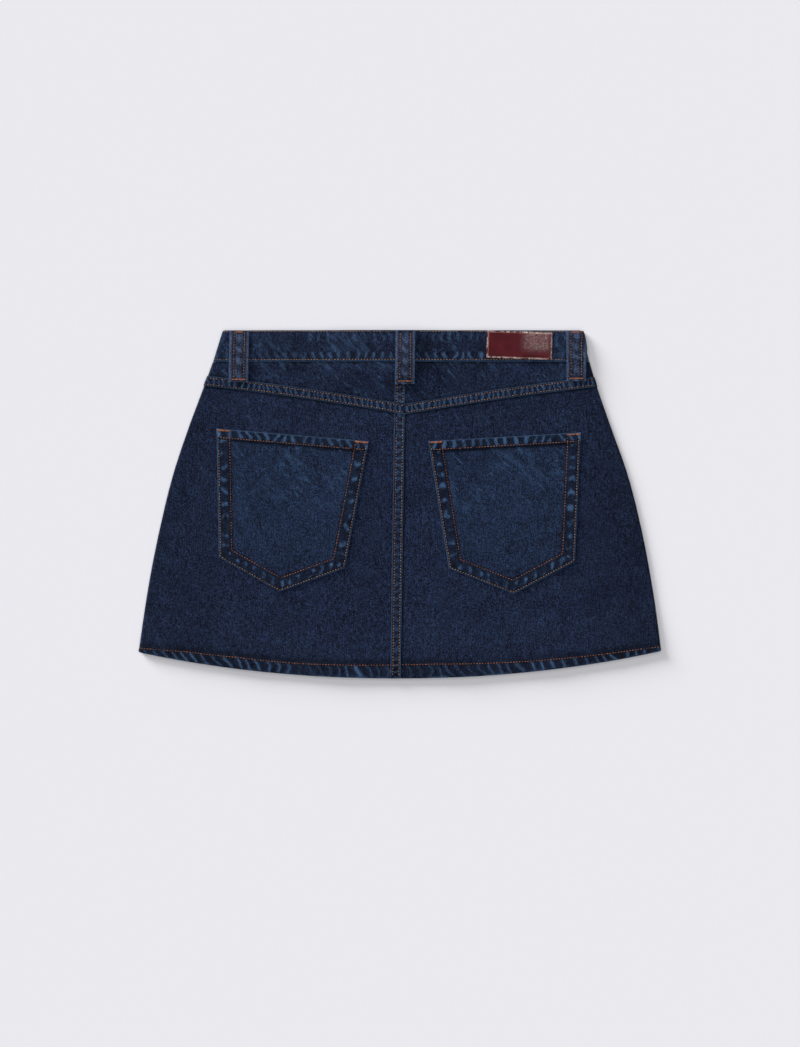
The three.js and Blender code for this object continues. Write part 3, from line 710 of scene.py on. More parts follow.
def stitch_row(path, surface, tint=0.0, pitch=2.9, length=1.8, width=0.56):
    """Starts and ends of the stitches along a path of (s, y) points."""
    path = np.asarray(path, float)
    run = np.concatenate([[0], np.cumsum(np.hypot(*np.diff(path, axis=0).T))])
    count = max(int(run[-1] // pitch), 1)
    begin = (run[-1] - count * pitch) / 2 + pitch * np.arange(count) + (pitch - length) / 2

    def at(distance):
        s, y = np.interp(distance, run, path[:, 0]), np.interp(distance, run, path[:, 1])
        return surface(s, y)

    return at(begin), at(begin + length), np.full(count, width), np.full(count, tint)


def bar_tack(start, end, surface, width=1.8, pitch=0.8):
    """Short threads side by side from start to end."""
    start, end = np.array(start, float), np.array(end, float)
    along = end - start
    count = int(np.hypot(*along) // pitch)
    middle = start + along * ((np.arange(count) + 0.5) / count)[:, None]
    across = np.array([-along[1], along[0]]) / np.hypot(*along) * width / 2
    tilt = along / count * 0.45
    one, two = middle - across - tilt, middle + across + tilt
    return surface(*one.T), surface(*two.T), np.full(count, 0.72), np.zeros(count)


def sew(name, rows):
    """One mesh with every stitch of the rows given."""
    start, end = (np.concatenate([row[i] for row in rows]) for i in (0, 1))
    width, tint = (np.concatenate([row[i] for row in rows]) for i in (2, 3))
    axis = end - start
    half = np.linalg.norm(axis, axis=1, keepdims=True) / 2
    along = axis / (2 * half)
    beside = np.cross([0, 0, 1], along)
    beside /= np.linalg.norm(beside, axis=1, keepdims=True)
    above = np.cross(along, beside)
    middle = (start + end) / 2 + above * 0.06
    shape = SPINDLE[None] * np.stack([half[:, 0], width / 2, width * 0.36], axis=-1)[:, None]
    points = middle[:, None] + np.einsum("npk,nkc->npc", shape, np.stack([along, beside, above], axis=1))
    count = len(start)
    faces = [[v + k * len(SPINDLE) for v in face] for k in range(count) for face in SPINDLE_FACES]
    worn = np.clip(tint + np.random.default_rng(count).uniform(-0.12, 0.22, count), 0, 1)
    marks = {"tint": np.repeat(worn, len(SPINDLE))}
    piece = add_mesh(name, points.reshape(-1, 3), np.array(faces, dtype=object), THREAD, marks)
    print(name, "has", count, "stitches")
    return piece


# %% [markdown]
# ## The back panels
#
# Each back panel runs from the side seam, over the roll of the side, to the centre back. The left
# one carries the felled strip of the centre seam, because its edge folds over the other's. The hem
# is turned up twice inside, so it is three cloths thick, and it twists into slanting ropes.

# %% Two back panels
def hem_rim(s, y):
    return 0.7 * (1 - np.clip((y - hem_line(s)) / HEM_RIM, 0, 1))


def hem_thickness(s, y):
    turned = 1 - ease(y - hem_line(s) - HEM_DEPTH)
    return CLOTH * mix(1, HEM_LAYERS, turned)


def back_look(s, y):
    """Look of a back panel at any point."""
    drag = creases(s, y, 5, 26, 43, 52, 0.4) * plateau(y - 75, 25, 60)
    # Painted shadow beside the centre seam's fold and its far edge, painted shadow under the yoke's fold, and painted
    # shade that grows towards the rolled sides, most on the right.
    painted_shadow_beside_seam = 0.6 * strip(s - centre_back(y), 0, 1.8) + 0.35 * strip(centre_back(y) - FELL_WIDTH - s, 0, 1.4)
    painted_shadow_under_yoke = strip(yoke_line(s) - y, -1, 1.7, 1.4)
    painted_shade_toward_side = ease((np.abs(s) - 140) / 110) * np.where(s > 0, 1.5, 1)
    plain = look(0.16 * drag, 0.22 * drag, painted_shadow_beside_seam + 0.7 * painted_shadow_under_yoke + 0.25 * painted_shade_toward_side, 0.25 + 0.3 * plateau(y - 85, 15, 50))
    return plain + crumple(s, y, 41) + centre_seam(s, y) + turned_hem(s, y)


def back_surface(s, y):
    return on_cloth(s, y, back_look(s, y)[0])


def back_panel(name, side):
    inner = centre_back if side < 0 else (lambda y: centre_back(y) + SEAM_GAP)
    lines = (hem_line, lambda x: yoke_line(x) - SEAM_GAP)
    low_stops = [0, 0.4, 0.8, *np.arange(1.2, 18, 0.7)]
    inner_stops = FINE if side < 0 else [0, 0.6, 1.2, 2.4]
    s, y = panel_grid(side, inner, inner_stops, 196, lines, low_stops, 110, [0, 0.5, 1.2, 2.4])
    looks = back_look(s, y)
    off = hem_rim(s, y)
    outer = on_cloth(s, y, looks[0] - off)
    inner_face = on_cloth(s, y, off - hem_thickness(s, y))
    return add_wall(name, outer, inner_face, DENIM, looks), s, y


left_back, left_s, left_y = back_panel("back_panel_left", -1)
right_back, right_s, right_y = back_panel("back_panel_right", 1)

# %% Stitches on the back panels
def points_along(values, s_of, y_of):
    return np.stack([s_of(values) + values * 0, y_of(values) + values * 0], axis=-1)


hem_x = np.linspace(-268.5, 268.5, 400)
hem_path = points_along(hem_x, lambda x: x, lambda x: hem_line(x) + hem_row(x))
hem_left, hem_right = hem_path[hem_x < 0.6], hem_path[hem_x >= 0.6]
seam_y = np.linspace(BOTTOM + 2, YOKE_CENTRE - 1.5, 200)
centre_rows = [
    stitch_row(points_along(seam_y, lambda y, d=d: centre_back(y) - d, lambda y: y), back_surface, tint)
    for d, tint in zip(CENTRE_ROWS, (0.8, 0.35))
]
left_sewing = sew("stitches_back_left", [stitch_row(hem_left, back_surface, 0.12), *centre_rows])
right_sewing = sew("stitches_back_right", [stitch_row(hem_right, back_surface, 0.12)])
declare_cloth(left_back, "back_left", left_s, left_y, [left_sewing])
declare_cloth(right_back, "back_right", right_s, right_y, [right_sewing])

# %% [markdown]
# ## The yoke
#
# The yoke is the V-shaped pair of pieces between the waistband and the panels. Its lower edge is
# folded over the panels and sewn down with two rows. The cloth above the seam is pulled by the
# stitching of the waistband, so short creases run down from it at a slant.

# %% Two yoke pieces
def yoke_look(s, y):
    """Look of a yoke piece: the felled yoke seam lies over the felled centre seam."""
    above = y - yoke_line(s)
    seam = np.where(strip(above, 0, FELL_WIDTH - 0.5) > 0.5, yoke_seam(s, y), centre_seam(s, y))
    open_cloth = strip(above, FELL_WIDTH + 1, 99, 4)
    drag = creases(s, y, 4.2, 24, 53, 48, 0.55) * open_cloth
    fine = creases(s, y, 2.6, 12, 57, 42, 0.45) * open_cloth
    # Darker cloth: random tone, then painted shade just above the yoke seam's strip and just under the waistband's
    # edge.
    tone_and_painted_shade = np.clip(0.35 + 0.6 * bumps(s, y, 26, 18, 59), 0, 1) * open_cloth
    tone_and_painted_shade = tone_and_painted_shade + 0.6 * strip(above - FELL_WIDTH, -0.2, 1.6) + 0.8 * strip(WAIST_SEAM - y, -1, 1.8, 1.2)
    return seam + crumple(s, y, 51, 1.1) + look(0.26 * drag + 0.14 * fine, 0.42 * drag + 0.35 * fine, 0.75 * tone_and_painted_shade, open_cloth)


def yoke_surface(s, y):
    return on_cloth(s, y, yoke_look(s, y)[0])


def yoke_piece(name, side):
    inner = centre_back if side < 0 else (lambda y: centre_back(y) + SEAM_GAP)
    lines = (yoke_line, lambda x: WAIST_SEAM - SEAM_GAP + 0 * x)
    inner_stops = FINE if side < 0 else [0, 0.6, 1.2, 2.4]
    s, y = panel_grid(side, inner, inner_stops, 180, lines, FINE, 26, [0, 0.5, 1.2, 2.2, 3.4])
    looks = yoke_look(s, y)
    piece = add_wall(name, on_cloth(s, y, looks[0]), on_cloth(s, y, -CLOTH + 0 * s), DENIM, looks)
    return piece, s, y


left_yoke, left_s, left_y = yoke_piece("yoke_panel_left", -1)
right_yoke, right_s, right_y = yoke_piece("yoke_panel_right", 1)

# %% Stitches on the yoke
def yoke_row(low, high, distance):
    x = np.linspace(low, high, 200)
    return stitch_row(points_along(x, lambda s: s, lambda s: yoke_line(s) + distance), yoke_surface, 0.65)


seam_y = np.linspace(YOKE_CENTRE + FELL_WIDTH, WAIST_SEAM - 1, 40)
upper_rows = [
    stitch_row(points_along(seam_y, lambda y, d=d: centre_back(y) - d, lambda y: y), yoke_surface, tint)
    for d, tint in zip(CENTRE_ROWS, (0.8, 0.35))
]
left_sewing = sew("stitches_yoke_left", [yoke_row(-207, 4.6, d) for d in YOKE_ROWS] + upper_rows)
right_sewing = sew("stitches_yoke_right", [yoke_row(6.2, 207, d) for d in YOKE_ROWS])
declare_cloth(left_yoke, "yoke_left", left_s, left_y, [left_sewing])
declare_cloth(right_yoke, "yoke_right", right_s, right_y, [right_sewing])

# %% [markdown]
# ## The waistband
#
# The waistband is one strip, folded double, that goes from the closure round the left side, across
# the back, round the right side and back under its own other end. Its columns follow that route.
# The buttonhole is cut with a Boolean modifier, whose result is then kept as the mesh.

# %% One strip round the waist
BAND_ROWS = (2.2, 30.7)


def band_look(s, y):
    """Look of the waistband: puckers over the lower row and under the upper one."""
    above = y - WAIST_SEAM
    rope = roping(s, above, 9.0, 0.15, 63)
    low_zone = strip(above, 3.2, 9.5, 2.6) * (0.4 + 0.6 * plateau(np.abs(s + 8) - 70, 45, 40))
    high_zone = strip(above, 21, 29.5, 4.0) * np.clip(0.5 + 0.7 * bumps(s, y, 40, 40, 65), 0, 1)
    ridge = np.clip(rope, 0, 1) ** 1.6
    folds = creases(s, y, 4.0, 16, 67, 40, 0.5)
    fine = creases(s, y, 2.6, 10, 68, 52, 0.5)
    # Pale lines along the lower fold and the top edge: faded cloth with a painted highlight.
    edges = 0.6 * line(above - 0.45, 0.7) + 0.15 * line(above - 31.6, 0.5)
    wear = edges + ridge * low_zone + 0.5 * ridge * high_zone + 0.35 * folds + 0.35 * fine
    # Darker cloth: random tone, unworn dye between the ropes, and painted shade along the rounded top edge.
    deep = np.clip(0.3 + 0.6 * bumps(s, y, 22, 12, 69), 0, 1) * strip(above, 8, 26, 6)
    deep = 0.7 * deep + 0.45 * (1 - ridge) * low_zone + 0.3 * strip(above, 29.6, 33)
    relief = 0.24 * rope * (low_zone + high_zone) + 0.16 * folds + 0.12 * fine
    rows = sum(stitch_groove(above - row) for row in BAND_ROWS)
    return crumple(s, y, 61, 0.9) + rows + look(relief, wear, deep, 0.8)


def band_round(y):
    top = 0.9 * (1 - np.clip((TOP - y) / BAND_RIM, 0, 1))
    return top + 0.5 * (1 - np.clip((y - WAIST_SEAM) / BAND_RIM, 0, 1))


def band_surface(s, y):
    return on_cloth(s, y, band_look(s, y)[0], BAND_PROUD)


def stations(low, high, step):
    return np.linspace(low, high, int(round(abs(high - low) / step)) + 1)


def waistband_route():
    """Places across the cloth at mid height, and the layer that each is on."""
    middle = (TOP + WAIST_SEAM) / 2
    left, right = (float(side_seam(side, middle, BAND_PROUD)) for side in (-1, 1))
    front_left = np.concatenate([stations(LAP_EDGE, left + 8, 2.5), stations(left + 7, left + 1, 1.0)])
    across_back = stations(left, right, 1.2)
    front_right = np.concatenate([stations(right - 1, right - 7, 1.0), stations(right - 8, LAP_EDGE + 1, 2.5)])
    under = stations(LAP_EDGE - 1, UNDERLAP, 2.5)
    s = np.concatenate([front_left, across_back, front_right, under])
    layer = np.ones(len(s))
    layer[: len(front_left)] = -1
    layer[len(front_left) + len(across_back):] = -1
    lapped = np.arange(len(s)) >= len(front_left) + len(across_back)
    return s, layer, lapped, middle


def waistband_faces():
    route, layer, lapped, middle = waistband_route()
    edge = [0, 0.35, 0.7, 1.0, 1.6, 2.2, 2.8, 3.4]
    ends = np.full(len(route), WAIST_SEAM), np.full(len(route), TOP)
    y = spread(*ends, edge, 24, edge)
    side = np.where(route < 0, -1, 1)
    s = route * side_seam(side, y, BAND_PROUD) / side_seam(side, middle, BAND_PROUD)
    looks = band_look(s, y)
    off = band_round(y)
    faces = []
    for lift in (looks[0] - off, off - BAND_THICK):
        back = on_cloth(s, y, lift, BAND_PROUD)
        rise = np.where(lapped, lap_rise(s, y), 0.0)
        front = on_cloth(s, y, np.where(lift > -1, -off, lift), BAND_PROUD, layer=-1, rise=rise)
        faces.append(np.where((layer > 0)[None, :, None], back, front))
    return faces, s, y, looks


(outer, inner_face), band_s, band_y, looks = waistband_faces()
band = add_wall("waistband_strip", outer, inner_face, DENIM, looks)

# %% Cut the buttonhole
BUTTON_X, BUTTON_Y = -8.0, TOP - 16
EYE, SLIT, SLIT_LENGTH = 3.6, 0.8, 16.0


def keyhole_cutter():
    """A prism with a round eye and a narrow slit, through the outer end of the waistband only."""
    neck = math.asin(SLIT / EYE)
    turn = np.linspace(math.pi + neck, 3 * math.pi - neck, 33)
    outline = np.stack([EYE * np.cos(turn), EYE * np.sin(turn)], axis=-1)
    outline = np.concatenate([outline, [[-SLIT_LENGTH, SLIT], [-SLIT_LENGTH, -SLIT]]]) + [BUTTON_X, BUTTON_Y]
    count = len(outline)
    depth = 2.3 + BAND_THICK + SEAM_GAP / 2
    points = np.concatenate([np.column_stack([outline, np.full(count, z)]) for z in (-1.0, depth)])
    ring = [[k, (k + 1) % count, (k + 1) % count + count, k + count] for k in range(count)]
    mesh = bpy.data.meshes.new("keyhole_cutter")
    mesh.from_pydata((points * MM).tolist(), [], [list(range(count))[::-1], list(range(count, 2 * count)), *ring])
    return bpy.data.objects.new("keyhole_cutter", mesh)


def cut_away(piece, cutter):
    """Subtracts the cutter and keeps the result as the piece's own mesh."""
    bpy.context.scene.collection.objects.link(cutter)
    boolean = piece.modifiers.new("buttonhole", "BOOLEAN")
    boolean.operation, boolean.object, boolean.solver = "DIFFERENCE", cutter, "EXACT"
    cut = bpy.data.meshes.new_from_object(piece.evaluated_get(bpy.context.evaluated_depsgraph_get()))
    piece.modifiers.clear()
    piece.data = cut
    bpy.data.objects.remove(cutter)
    print(piece.name, "has", len(cut.polygons), "faces after the cut")


cut_away(band, keyhole_cutter())

# %% Stitches on the waistband
def band_row(distance, tint):
    y = WAIST_SEAM + distance
    ends = [float(side_seam(side, y, BAND_PROUD)) - side * 1.0 for side in (-1, 1)]
    x = np.linspace(*ends, 300)
    return stitch_row(np.stack([x, 0 * x + y], axis=-1), band_surface, tint, pitch=3.0)


band_sewing = sew("stitches_waistband", [band_row(BAND_ROWS[0], 0.75), band_row(BAND_ROWS[1], 0.95)])
unrolled = np.cumsum(np.abs(np.diff(band_s, axis=1, prepend=band_s[:, :1])), axis=1)
declare_cloth(band, "waistband", unrolled, band_y, [band_sewing])

# %% [markdown]
# ## The pockets
#
# A patch pocket is one piece of cloth with its edges turned in. The turned edge stands up as a rim
# between two rows of stitching, and the opening has a wider fold of its own. The pocket is drawn in
# its own axes, `u` across and `v` up to the opening, and then turned and laid on the back panel.

# %% Pocket shape
POCKET_TOP, POCKET_FOOT, POCKET_SIDE, POCKET_TIP = 156.0, 129.0, 131.4, 161.0
POCKET_RIM, POCKET_RIM_HEIGHT, POCKET_FOLD, POCKET_FOLD_HEIGHT = 12.9, 0.6, 10.0, 1.1
POCKET_SLANT = math.cos(math.atan2(POCKET_TIP - POCKET_SIDE, POCKET_FOOT / 2))
POCKETS = {"pocket_left": (-109.4, 71.0, -4.8), "pocket_right": (106.7, 69.0, 3.3)}
POCKET_ROWS = (1.9, 13.2)
POCKET_FOLD_ROW = 9.0


def pocket_half(v):
    return mix(POCKET_TOP / 2, POCKET_FOOT / 2, -v / POCKET_SIDE)


def pocket_foot(u):
    return -POCKET_TIP + (POCKET_TIP - POCKET_SIDE) * np.abs(u) / (POCKET_FOOT / 2)


def pocket_distances(u, v):
    """Distance from the nearest side, from the foot and from the opening."""
    return pocket_half(v) - np.abs(u), (v - pocket_foot(u)) * POCKET_SLANT, -v


def pocket_to_cloth(place, u, v):
    x, y, turn = place
    angle = math.radians(turn)
    return x + u * math.cos(angle) - v * math.sin(angle), y + u * math.sin(angle) + v * math.cos(angle)


def turned_edge(distance, width, height):
    inside = np.clip((width + 0.9 - distance) / 0.9, 0, 1)
    return height * np.minimum(inside, np.clip(distance / 0.7, 0, 1))


def pocket_look(u, v, seed):
    """Height above the panel and marks of a pocket."""
    side, foot, opening = pocket_distances(u, v)
    near = np.minimum(side, foot)
    along = np.where(side < foot, v, u)
    rim = turned_edge(near, POCKET_RIM, POCKET_RIM_HEIGHT)
    fold = turned_edge(opening, POCKET_FOLD, POCKET_FOLD_HEIGHT)
    worn_edge = 0.3 * (1 - np.clip(np.minimum(near, opening) / 0.7, 0, 1))
    on_rim = strip(near, 0, POCKET_RIM - 0.4) * strip(opening, POCKET_FOLD, 999)
    on_fold = strip(opening, -1, POCKET_FOLD - 0.3)
    inside = strip(near, POCKET_RIM + 1.5, 999, 3) * strip(opening, POCKET_FOLD + 1, 999, 2)

    patches = roping(along, near, np.where(side < foot, 13.5, 9.5), 0.0, seed) + 0.7 * bumps(u, v, 3.4, 3.4, seed + 2)
    patch_zone = strip(near, POCKET_ROWS[0] + 1.8, POCKET_ROWS[1] - 3.0, 2.6) * strip(opening, POCKET_FOLD + 1, 999)
    bright = patch_zone * np.clip(patches * 1.1 - 0.25, 0, 1) ** 1.4
    ropes = roping(u, opening, 9.4, 0.08, seed + 3) + 0.25 * bumps(u, v, 3, 5, seed + 4)
    bars = on_fold * np.clip(ropes * 1.3, 0, 1) ** 1.5 * strip(opening, 0.8, 8.2, 1.4)
    drag = creases(u, v, 4.0, 26, seed + 9, 52, 0.7) * inside * plateau(v + 28, 16, 50)
    painted_shadow_under_fold = strip(opening, POCKET_FOLD + 0.2, POCKET_FOLD + 2.6, 1.4) * strip(near, 2, 999)

    relief = CLOTH + np.maximum(rim, fold) - worn_edge + 0.2 * patches * on_rim + 0.3 * ropes * on_fold + 0.18 * drag
    wear = 0.95 * bright + bars + 0.6 * line(near - 0.4, 0.65) + 0.4 * on_fold * line(opening - 0.5, 0.7)
    wear = wear + 0.4 * drag + 0.05 * plateau(v + 70, 30, 50) * inside
    # Darker cloth: unworn dye between the pale patches and bars, a painted shadow under the opening's fold, and
    # painted shade just outside the rim.
    deep = 0.55 * on_rim * (1 - bright) + 0.6 * on_fold * (1 - bars) + 0.8 * painted_shadow_under_fold
    deep = deep + 0.5 * strip(near, POCKET_RIM + 0.3, POCKET_RIM + 1.8)
    rows = sum(stitch_groove(near - row, strip(opening, 1.5, 999)) for row in POCKET_ROWS)
    rows = rows + stitch_groove(opening - POCKET_FOLD_ROW)
    return rows + crumple(u, v, seed + 5, 1.2) + look(relief, wear, deep, inside * (0.25 + 0.75 * plateau(v + 30, 16, 50)))


print("Each pocket is", POCKET_TOP, "mm wide at its opening and", POCKET_TIP, "mm deep")

# %% Lay both pockets on the back
def pocket_grid():
    edge = np.array([0, 0.35, *np.arange(0.7, 14.5, 0.62)])
    shares = np.linspace(-1, 1, 84)[1:-1]

    def u_at(v):
        first, between, last = np.split(v, [len(edge), len(edge) + len(shares)], axis=-1)
        middle = shares * (pocket_half(between) - edge[-1])
        return np.concatenate([edge - pocket_half(first), middle, (pocket_half(last) - edge[::-1])], axis=-1)

    low = np.full(2 * len(edge) + len(shares), -100.0)
    for _ in range(12):
        low = pocket_foot(u_at(low))
    v = spread(low, 0 * low, edge / POCKET_SLANT, 78, [0, 0.35, *np.arange(0.7, 12.5, 0.6)])
    return u_at(v), v


def pocket_paths():
    """Stitch rows in the pocket's own axes, as corner points with a distance from the edge."""
    paths = []
    for row in POCKET_ROWS:
        corner_v = -POCKET_SIDE + row * (1 / POCKET_SLANT - 0.45)
        left = [(-pocket_half(v) + row, v) for v in np.linspace(-3.4, corner_v, 60)]
        half = abs(left[-1][0])
        foot = [(u, pocket_foot(u) + row / POCKET_SLANT) for u in np.linspace(-half, half, 81)]
        right = [(-u, v) for u, v in left[::-1]]
        paths.append(np.array(left[:-1] + foot + right[1:]))
    return paths


def sew_pocket(name, place, seed):
    def surface(u, v):
        s, y = pocket_to_cloth(place, u, v)
        return on_cloth(s, y, REST_GAP + pocket_look(u, v, seed)[0])

    rows = [stitch_row(path, surface, tint) for path, tint in zip(pocket_paths(), (0.55, 0.05))]
    across = pocket_half(-POCKET_FOLD_ROW) - 2
    u = np.linspace(-across, across, 80)
    rows.append(stitch_row(np.stack([u, 0 * u - POCKET_FOLD_ROW], axis=-1), surface, 0.2))
    for side in (-1, 1):
        ends = [(side * (POCKET_TOP / 2 - d), -1.6) for d in (0.9, 14.2)]
        rows.append(bar_tack(*ends, surface))
    return sew(name, rows)


def lay_pocket(node, place, seed):
    u, v = pocket_grid()
    s, y = pocket_to_cloth(place, u, v)
    looks = pocket_look(u, v, seed)
    inner_face = on_cloth(s, y, REST_GAP + 0 * u)
    piece = add_wall(node + "_patch", on_cloth(s, y, REST_GAP + looks[0]), inner_face, POCKET_DENIM, looks)
    sewing = sew_pocket("stitches_" + node, place, seed)
    declare_cloth(piece, node, u, v, [sewing])
    return piece


for number, (node, place) in enumerate(POCKETS.items()):
    lay_pocket(node, place, 71 + 30 * number)

# %% [markdown]
# ## The belt loops
#
# A belt loop is a narrow folded strip, tacked down at both ends and bowed a little in between, so a
# belt can pass. The right one lies on the edge and rolls round the side with the waistband.

# %% Three loops on the back
LOOP_WIDTH, LOOP_THICK, LOOP_BOW, LOOP_INSET = 20.0, 2.0, 1.1, 0.6
LOOP_ROW = 4.7
LOOPS = {
    "belt_loop_back_left": (-163.6, -164.7, 53.0, True),
    "belt_loop_centre_back": (5.6, 5.0, 55.0, False),
    "belt_loop_back_right": (179.4, 179.8, 52.0, True),
}


def loop_place(loop, u, y):
    """Where a loop's point lies across the cloth, and how far its underside stands off."""
    top, foot, length, _ = loop
    low = TOP - length
    up = np.clip((y - low) / length, 0, 1)
    under = mix(FELL_HEIGHT - BAND_PROUD, 0, ease((y - low - 2) / (WAIST_SEAM - low - 4)))
    on_side = plateau(abs(top) - 179, 2, 4)
    bow = LOOP_BOW * np.sin(math.pi * up) * (1 - 0.7 * on_side)
    return mix(foot, top, up) + u, REST_GAP + under + bow


def loop_look(u, y, low, seed):
    """Height and marks of a loop: raised and dusty in the middle, with pale folded edges that are faded and partly a
    painted highlight, and painted shade along its stitching and at its lower end.
    """
    edge = LOOP_WIDTH / 2 - np.abs(u)
    end = y - low
    rope = roping(y, u, 13, 0.3, seed)
    blotch = bumps(u, y, 5, 7, seed + 2)
    ridge = 0.16 * line(u, 3.2) - 0.14 * line(edge - LOOP_ROW - 1.5, 1.0)
    fold = 0.3 * strip(end, -1, 1.6, 1.2)
    height = LOOP_THICK - 0.4 * (1 - np.clip(edge / 0.8, 0, 1)) + ridge + 0.1 * rope + 0.1 * blotch + fold
    middle = line(u, 3.4) * np.clip(0.15 + 0.6 * rope + 0.3 * blotch, 0, 1)
    # Pale folded edges: faded cloth with a painted highlight.
    wear = 0.5 * line(edge - 1.0, 1.2) + 0.7 * middle + 0.2 * line(end - 0.6, 1.0)
    # Darker: unworn dye in the middle, painted shade along the stitching, and a painted shadow at the folded lower
    # end.
    deep = 0.5 * np.clip(0.3 - rope, 0, 1) * line(u, 4) + 0.5 * strip(edge, 2.6, LOOP_ROW + 2.5) + 0.7 * strip(end, -1, 2.0)
    clear = strip(np.abs(end - 3.2), 0.9, 99, 0.8)
    return stitch_groove(edge - LOOP_ROW) + look(height, wear * clear, deep, 0.3)


def loop_surface(loop, seed):
    def surface(u, y):
        s, low = loop_place(loop, u, y)
        return on_cloth(s, y, low + loop_look(u, y, TOP - loop[2], seed)[0], BAND_PROUD)

    return surface


def sew_loop(name, loop, seed):
    surface = loop_surface(loop, seed)
    low, high = TOP - loop[2], TOP - LOOP_INSET
    rows = []
    for side in (-1, 1):
        column = [(side * (LOOP_WIDTH / 2 - LOOP_ROW), y) for y in np.linspace(low + 4.5, high - 1.5, 30)]
        rows.append(stitch_row(column, surface, 0.3))
    rows.append(bar_tack((-7, low + 2.9), (7, low + 2.9), surface, width=1.3))
    if loop[3]:
        rows.append(bar_tack((-6, high - 1.2), (6, high - 1.2), surface, width=1.2))
    return sew(name, rows)


def add_loop(node, loop, seed):
    low, high = TOP - loop[2], TOP - LOOP_INSET
    half = LOOP_WIDTH / 2
    u = spread(np.array([-half]), np.array([half]), [0, 0.3, 0.6, 1.0], 26, [0, 0.3, 0.6, 1.0])[:, 0]
    y = spread(np.array([low]), np.array([high]), [0, 0.4, 0.8], 66, [0, 0.4, 0.8])[:, 0]
    u, y = np.meshgrid(u, y)
    s, under = loop_place(loop, u, y)
    looks = loop_look(u, y, low, seed)
    outer = on_cloth(s, y, under + looks[0], BAND_PROUD)
    inner_face = on_cloth(s, y, under, BAND_PROUD)
    piece = add_wall(node + "_strip", outer, inner_face, LOOP_DENIM, looks)
    declare_cloth(piece, node, u, y, [sew_loop("stitches_" + node, loop, seed)])


for number, (node, loop) in enumerate(LOOPS.items()):
    add_loop(node, loop, 131 + 10 * number)

# %% [markdown]
# ## The leather patch
#
# A small plate of glossy leather is sewn to the waistband on the wearer's right. It is stiffer than
# the denim, so it bridges the small creases under it and stays almost flat, but its edges curl and
# its right end lifts a little, which is where it catches the light. Pale glints are also painted on
# its edges and over its right end.

# %% Patch with its stitching
PATCH_X, PATCH_Y, PATCH_WIDTH, PATCH_HEIGHT, PATCH_THICK, PATCH_TURN = 121.8, 162.2, 67.0, 28.0, 1.3, -1.9
PATCH_ROW = 1.7


def patch_look(u, v):
    """Height of the patch, and its painted pale glints, most of all along its edges and over its right end."""
    edge = np.minimum(PATCH_WIDTH / 2 - np.abs(u), PATCH_HEIGHT / 2 - np.abs(v))
    bevel = 0.5 * (1 - np.clip(edge / 0.6, 0, 1)) ** 2
    wavy = 0.09 * bumps(u, v, 9, 8, 171) + 0.04 * bumps(u, v, 3, 3, 173)
    crown = 0.5 * plateau(u - 15, 2, 20) + 0.12 * np.cos(v / PATCH_HEIGHT * math.pi)
    height = PATCH_THICK - bevel + wavy + crown * ease(edge / 4)
    # Pale glints painted along the edges, and a painted highlight over the right end.
    painted_edge_glints = 0.55 * line(edge - 0.7, 0.8) * np.clip(0.45 + 0.8 * bumps(u, v, 2.6, 2.6, 175), 0, 1)
    painted_highlight_right_end = 0.11 * ease((u + 2) / 14) * ease((v + 9) / 9) * ease((33 - u) / 6)
    return stitch_groove(edge - PATCH_ROW) + look(height, painted_edge_glints + painted_highlight_right_end)


def patch_to_cloth(u, v):
    angle = math.radians(PATCH_TURN)
    x = PATCH_X + u * math.cos(angle) - v * math.sin(angle)
    return x, PATCH_Y + u * math.sin(angle) + v * math.cos(angle)


def patch_surface(u, v):
    return on_cloth(*patch_to_cloth(u, v), REST_GAP + patch_look(u, v)[0], BAND_PROUD)


def patch_grid():
    edge = [0, 0.2, 0.4, 0.7, 1.2, 1.7, 2.2, 2.8]
    half_width, half_height = PATCH_WIDTH / 2, PATCH_HEIGHT / 2
    u = spread(np.array([-half_width]), np.array([half_width]), edge, 66, edge)[:, 0]
    v = spread(np.array([-half_height]), np.array([half_height]), edge, 24, edge)[:, 0]
    return np.meshgrid(u, v)


u, v = patch_grid()
under = on_cloth(*patch_to_cloth(u, v), REST_GAP + 0 * u, BAND_PROUD)
patch = add_wall("burgundy_patch", patch_surface(u, v), under, LEATHER, patch_look(u, v))
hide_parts("leather_patch")

reach_u, reach_v = PATCH_WIDTH / 2 - PATCH_ROW, PATCH_HEIGHT / 2 - PATCH_ROW
corners = np.array([(-reach_u, -reach_v), (reach_u, -reach_v), (reach_u, reach_v), (-reach_u, reach_v)])
patch_rows = [stitch_row([corners[k], corners[(k + 1) % 4]], patch_surface, 1.0, pitch=2.7, width=0.5) for k in range(4)]
sew("stitches_patch", patch_rows)

# %% [markdown]
# ## The front, which lies on the table
#
# Two plain panels make the front. They hardly show, so a coarser grid is enough, but they have the
# same turned hem and rolled sides as the back, because the two layers meet at the side seams.

# %% Two front panels
def front_panel(name, node, side):
    inner = (lambda y: LAP_EDGE + 0 * y) if side < 0 else (lambda y: LAP_EDGE + 0.04 + 0 * y)
    lines = (hem_line, lambda x: WAIST_SEAM - SEAM_GAP + 0 * x)
    s, y = panel_grid(side, inner, [0, 1.2, 4, 8, 12, 16, 20], 70, lines, [0, 0.4, 0.8, 1.2, 4, 8, 13, 14], 88, [0, 1])
    rise = lap_rise(s, y) if side > 0 else 0 * s
    off = hem_rim(s, y)
    outer = on_cloth(s, y, -off, layer=-1, rise=rise)
    inner_face = on_cloth(s, y, off - hem_thickness(s, y), layer=-1, rise=rise)
    piece = add_wall(name, outer, inner_face, DENIM, turned_hem(s, y))
    declare_cloth(piece, node, s, y)
    return piece


front_panel("front_panel_left", "front_left", -1)
front_panel("front_panel_right", "front_right", 1)

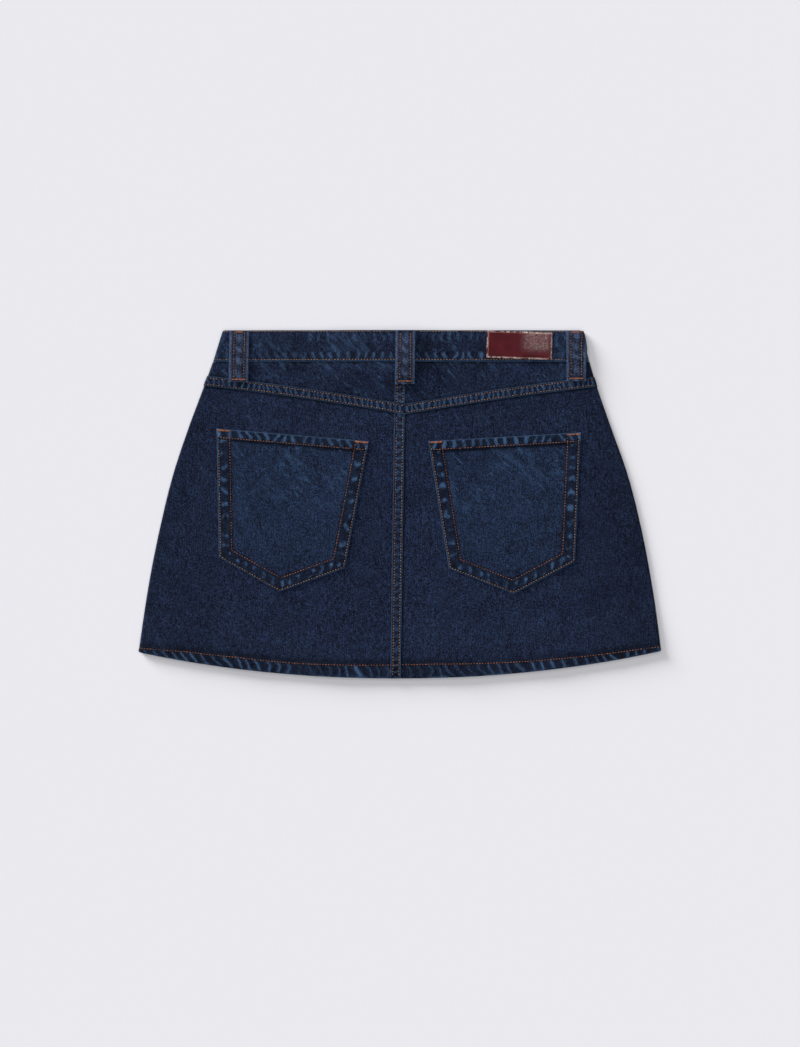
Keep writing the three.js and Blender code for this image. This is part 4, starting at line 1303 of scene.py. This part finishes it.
# %% Finishes for the solids that stay
def refinish(node, material):
    """Gives a kept CAD node its finish."""
    solid = bpy.data.objects[node]
    solid.data.materials.clear()
    solid.data.materials.append(material)
    print(node, "now has", material.name)


for node, material in {
    "button": METAL,
    "zip": ZIP,
    "fly_shield": DENIM,
    "belt_loop_front_left": LOOP_DENIM,
    "belt_loop_front_right": LOOP_DENIM,
}.items():
    refinish(node, material)

# %% [markdown]
# ## Table, light and camera
#
# The camera looks straight down at the skirt on a pale seamless ground. A broad light low on the
# upper left gives the soft shadow at the lower right, an even sky and a soft light from straight
# above that makes no glints fill it, and a small light high on the right adds a gleam to the
# leather, beside the glints painted in its colour. Suns are used because they light the whole
# table evenly. The camera stands far off with a long lens, so the skirt keeps its proportions.

# %% The table
def add_table():
    half = 3.0
    mesh = bpy.data.meshes.new("table")
    mesh.from_pydata([(-half, -half, -0.0003), (half, -half, -0.0003), (half, half, -0.0003), (-half, half, -0.0003)], [], [(0, 1, 2, 3)])
    surface = Finish("pale_seamless_ground")
    surface.set(Base_Color=(0.79, 0.785, 0.825, 1.0), Roughness=0.95, Specular_IOR_Level=0.0)
    mesh.materials.append(surface.material)
    table = bpy.data.objects.new("table", mesh)
    bpy.context.scene.collection.objects.link(table)
    return table


add_table()

# %% The lights
def add_sun(name, strength, spread_degrees, azimuth, elevation, glints=True):
    """A sun that comes from a compass direction, counted from +Y towards +X."""
    data = bpy.data.lights.new(name, "SUN")
    data.energy, data.angle = strength, math.radians(spread_degrees)
    sun = bpy.data.objects.new(name, data)
    sun.rotation_euler = (math.radians(90 - elevation), 0, math.radians(180 - azimuth))
    sun.visible_glossy = glints
    bpy.context.scene.collection.objects.link(sun)


add_sun("low_broad_key", 4.15, 28, -46, 18.5)
add_sun("soft_top", 1.48, 60, 0, 90, glints=False)
add_sun("gleam", 0.12, 8, 92, 72)
world = bpy.data.worlds.new("even_sky")
world.use_nodes = True
world.node_tree.nodes["Background"].inputs["Color"].default_value = (0.96, 0.97, 1.0, 1.0)
world.node_tree.nodes["Background"].inputs["Strength"].default_value = 0.12
bpy.context.scene.world = world
bpy.context.scene.view_settings.view_transform = "Standard"

# %% The camera
VIEW_HEIGHT = 1047 * 1.02 * MM
VIEW_CENTRE = (0.0, -19.5 * MM, 6 * MM)
LENS, SENSOR = 100.0, 36.0

camera_data = bpy.data.cameras.new("from_above")
camera_data.lens, camera_data.sensor_width = LENS, SENSOR
camera = bpy.data.objects.new("from_above", camera_data)
distance = VIEW_HEIGHT * LENS / SENSOR
camera.location = (VIEW_CENTRE[0], VIEW_CENTRE[1], VIEW_CENTRE[2] + distance)
bpy.context.scene.collection.objects.link(camera)
bpy.context.scene.camera = camera
print("Camera", round(distance, 2), "m above the skirt")
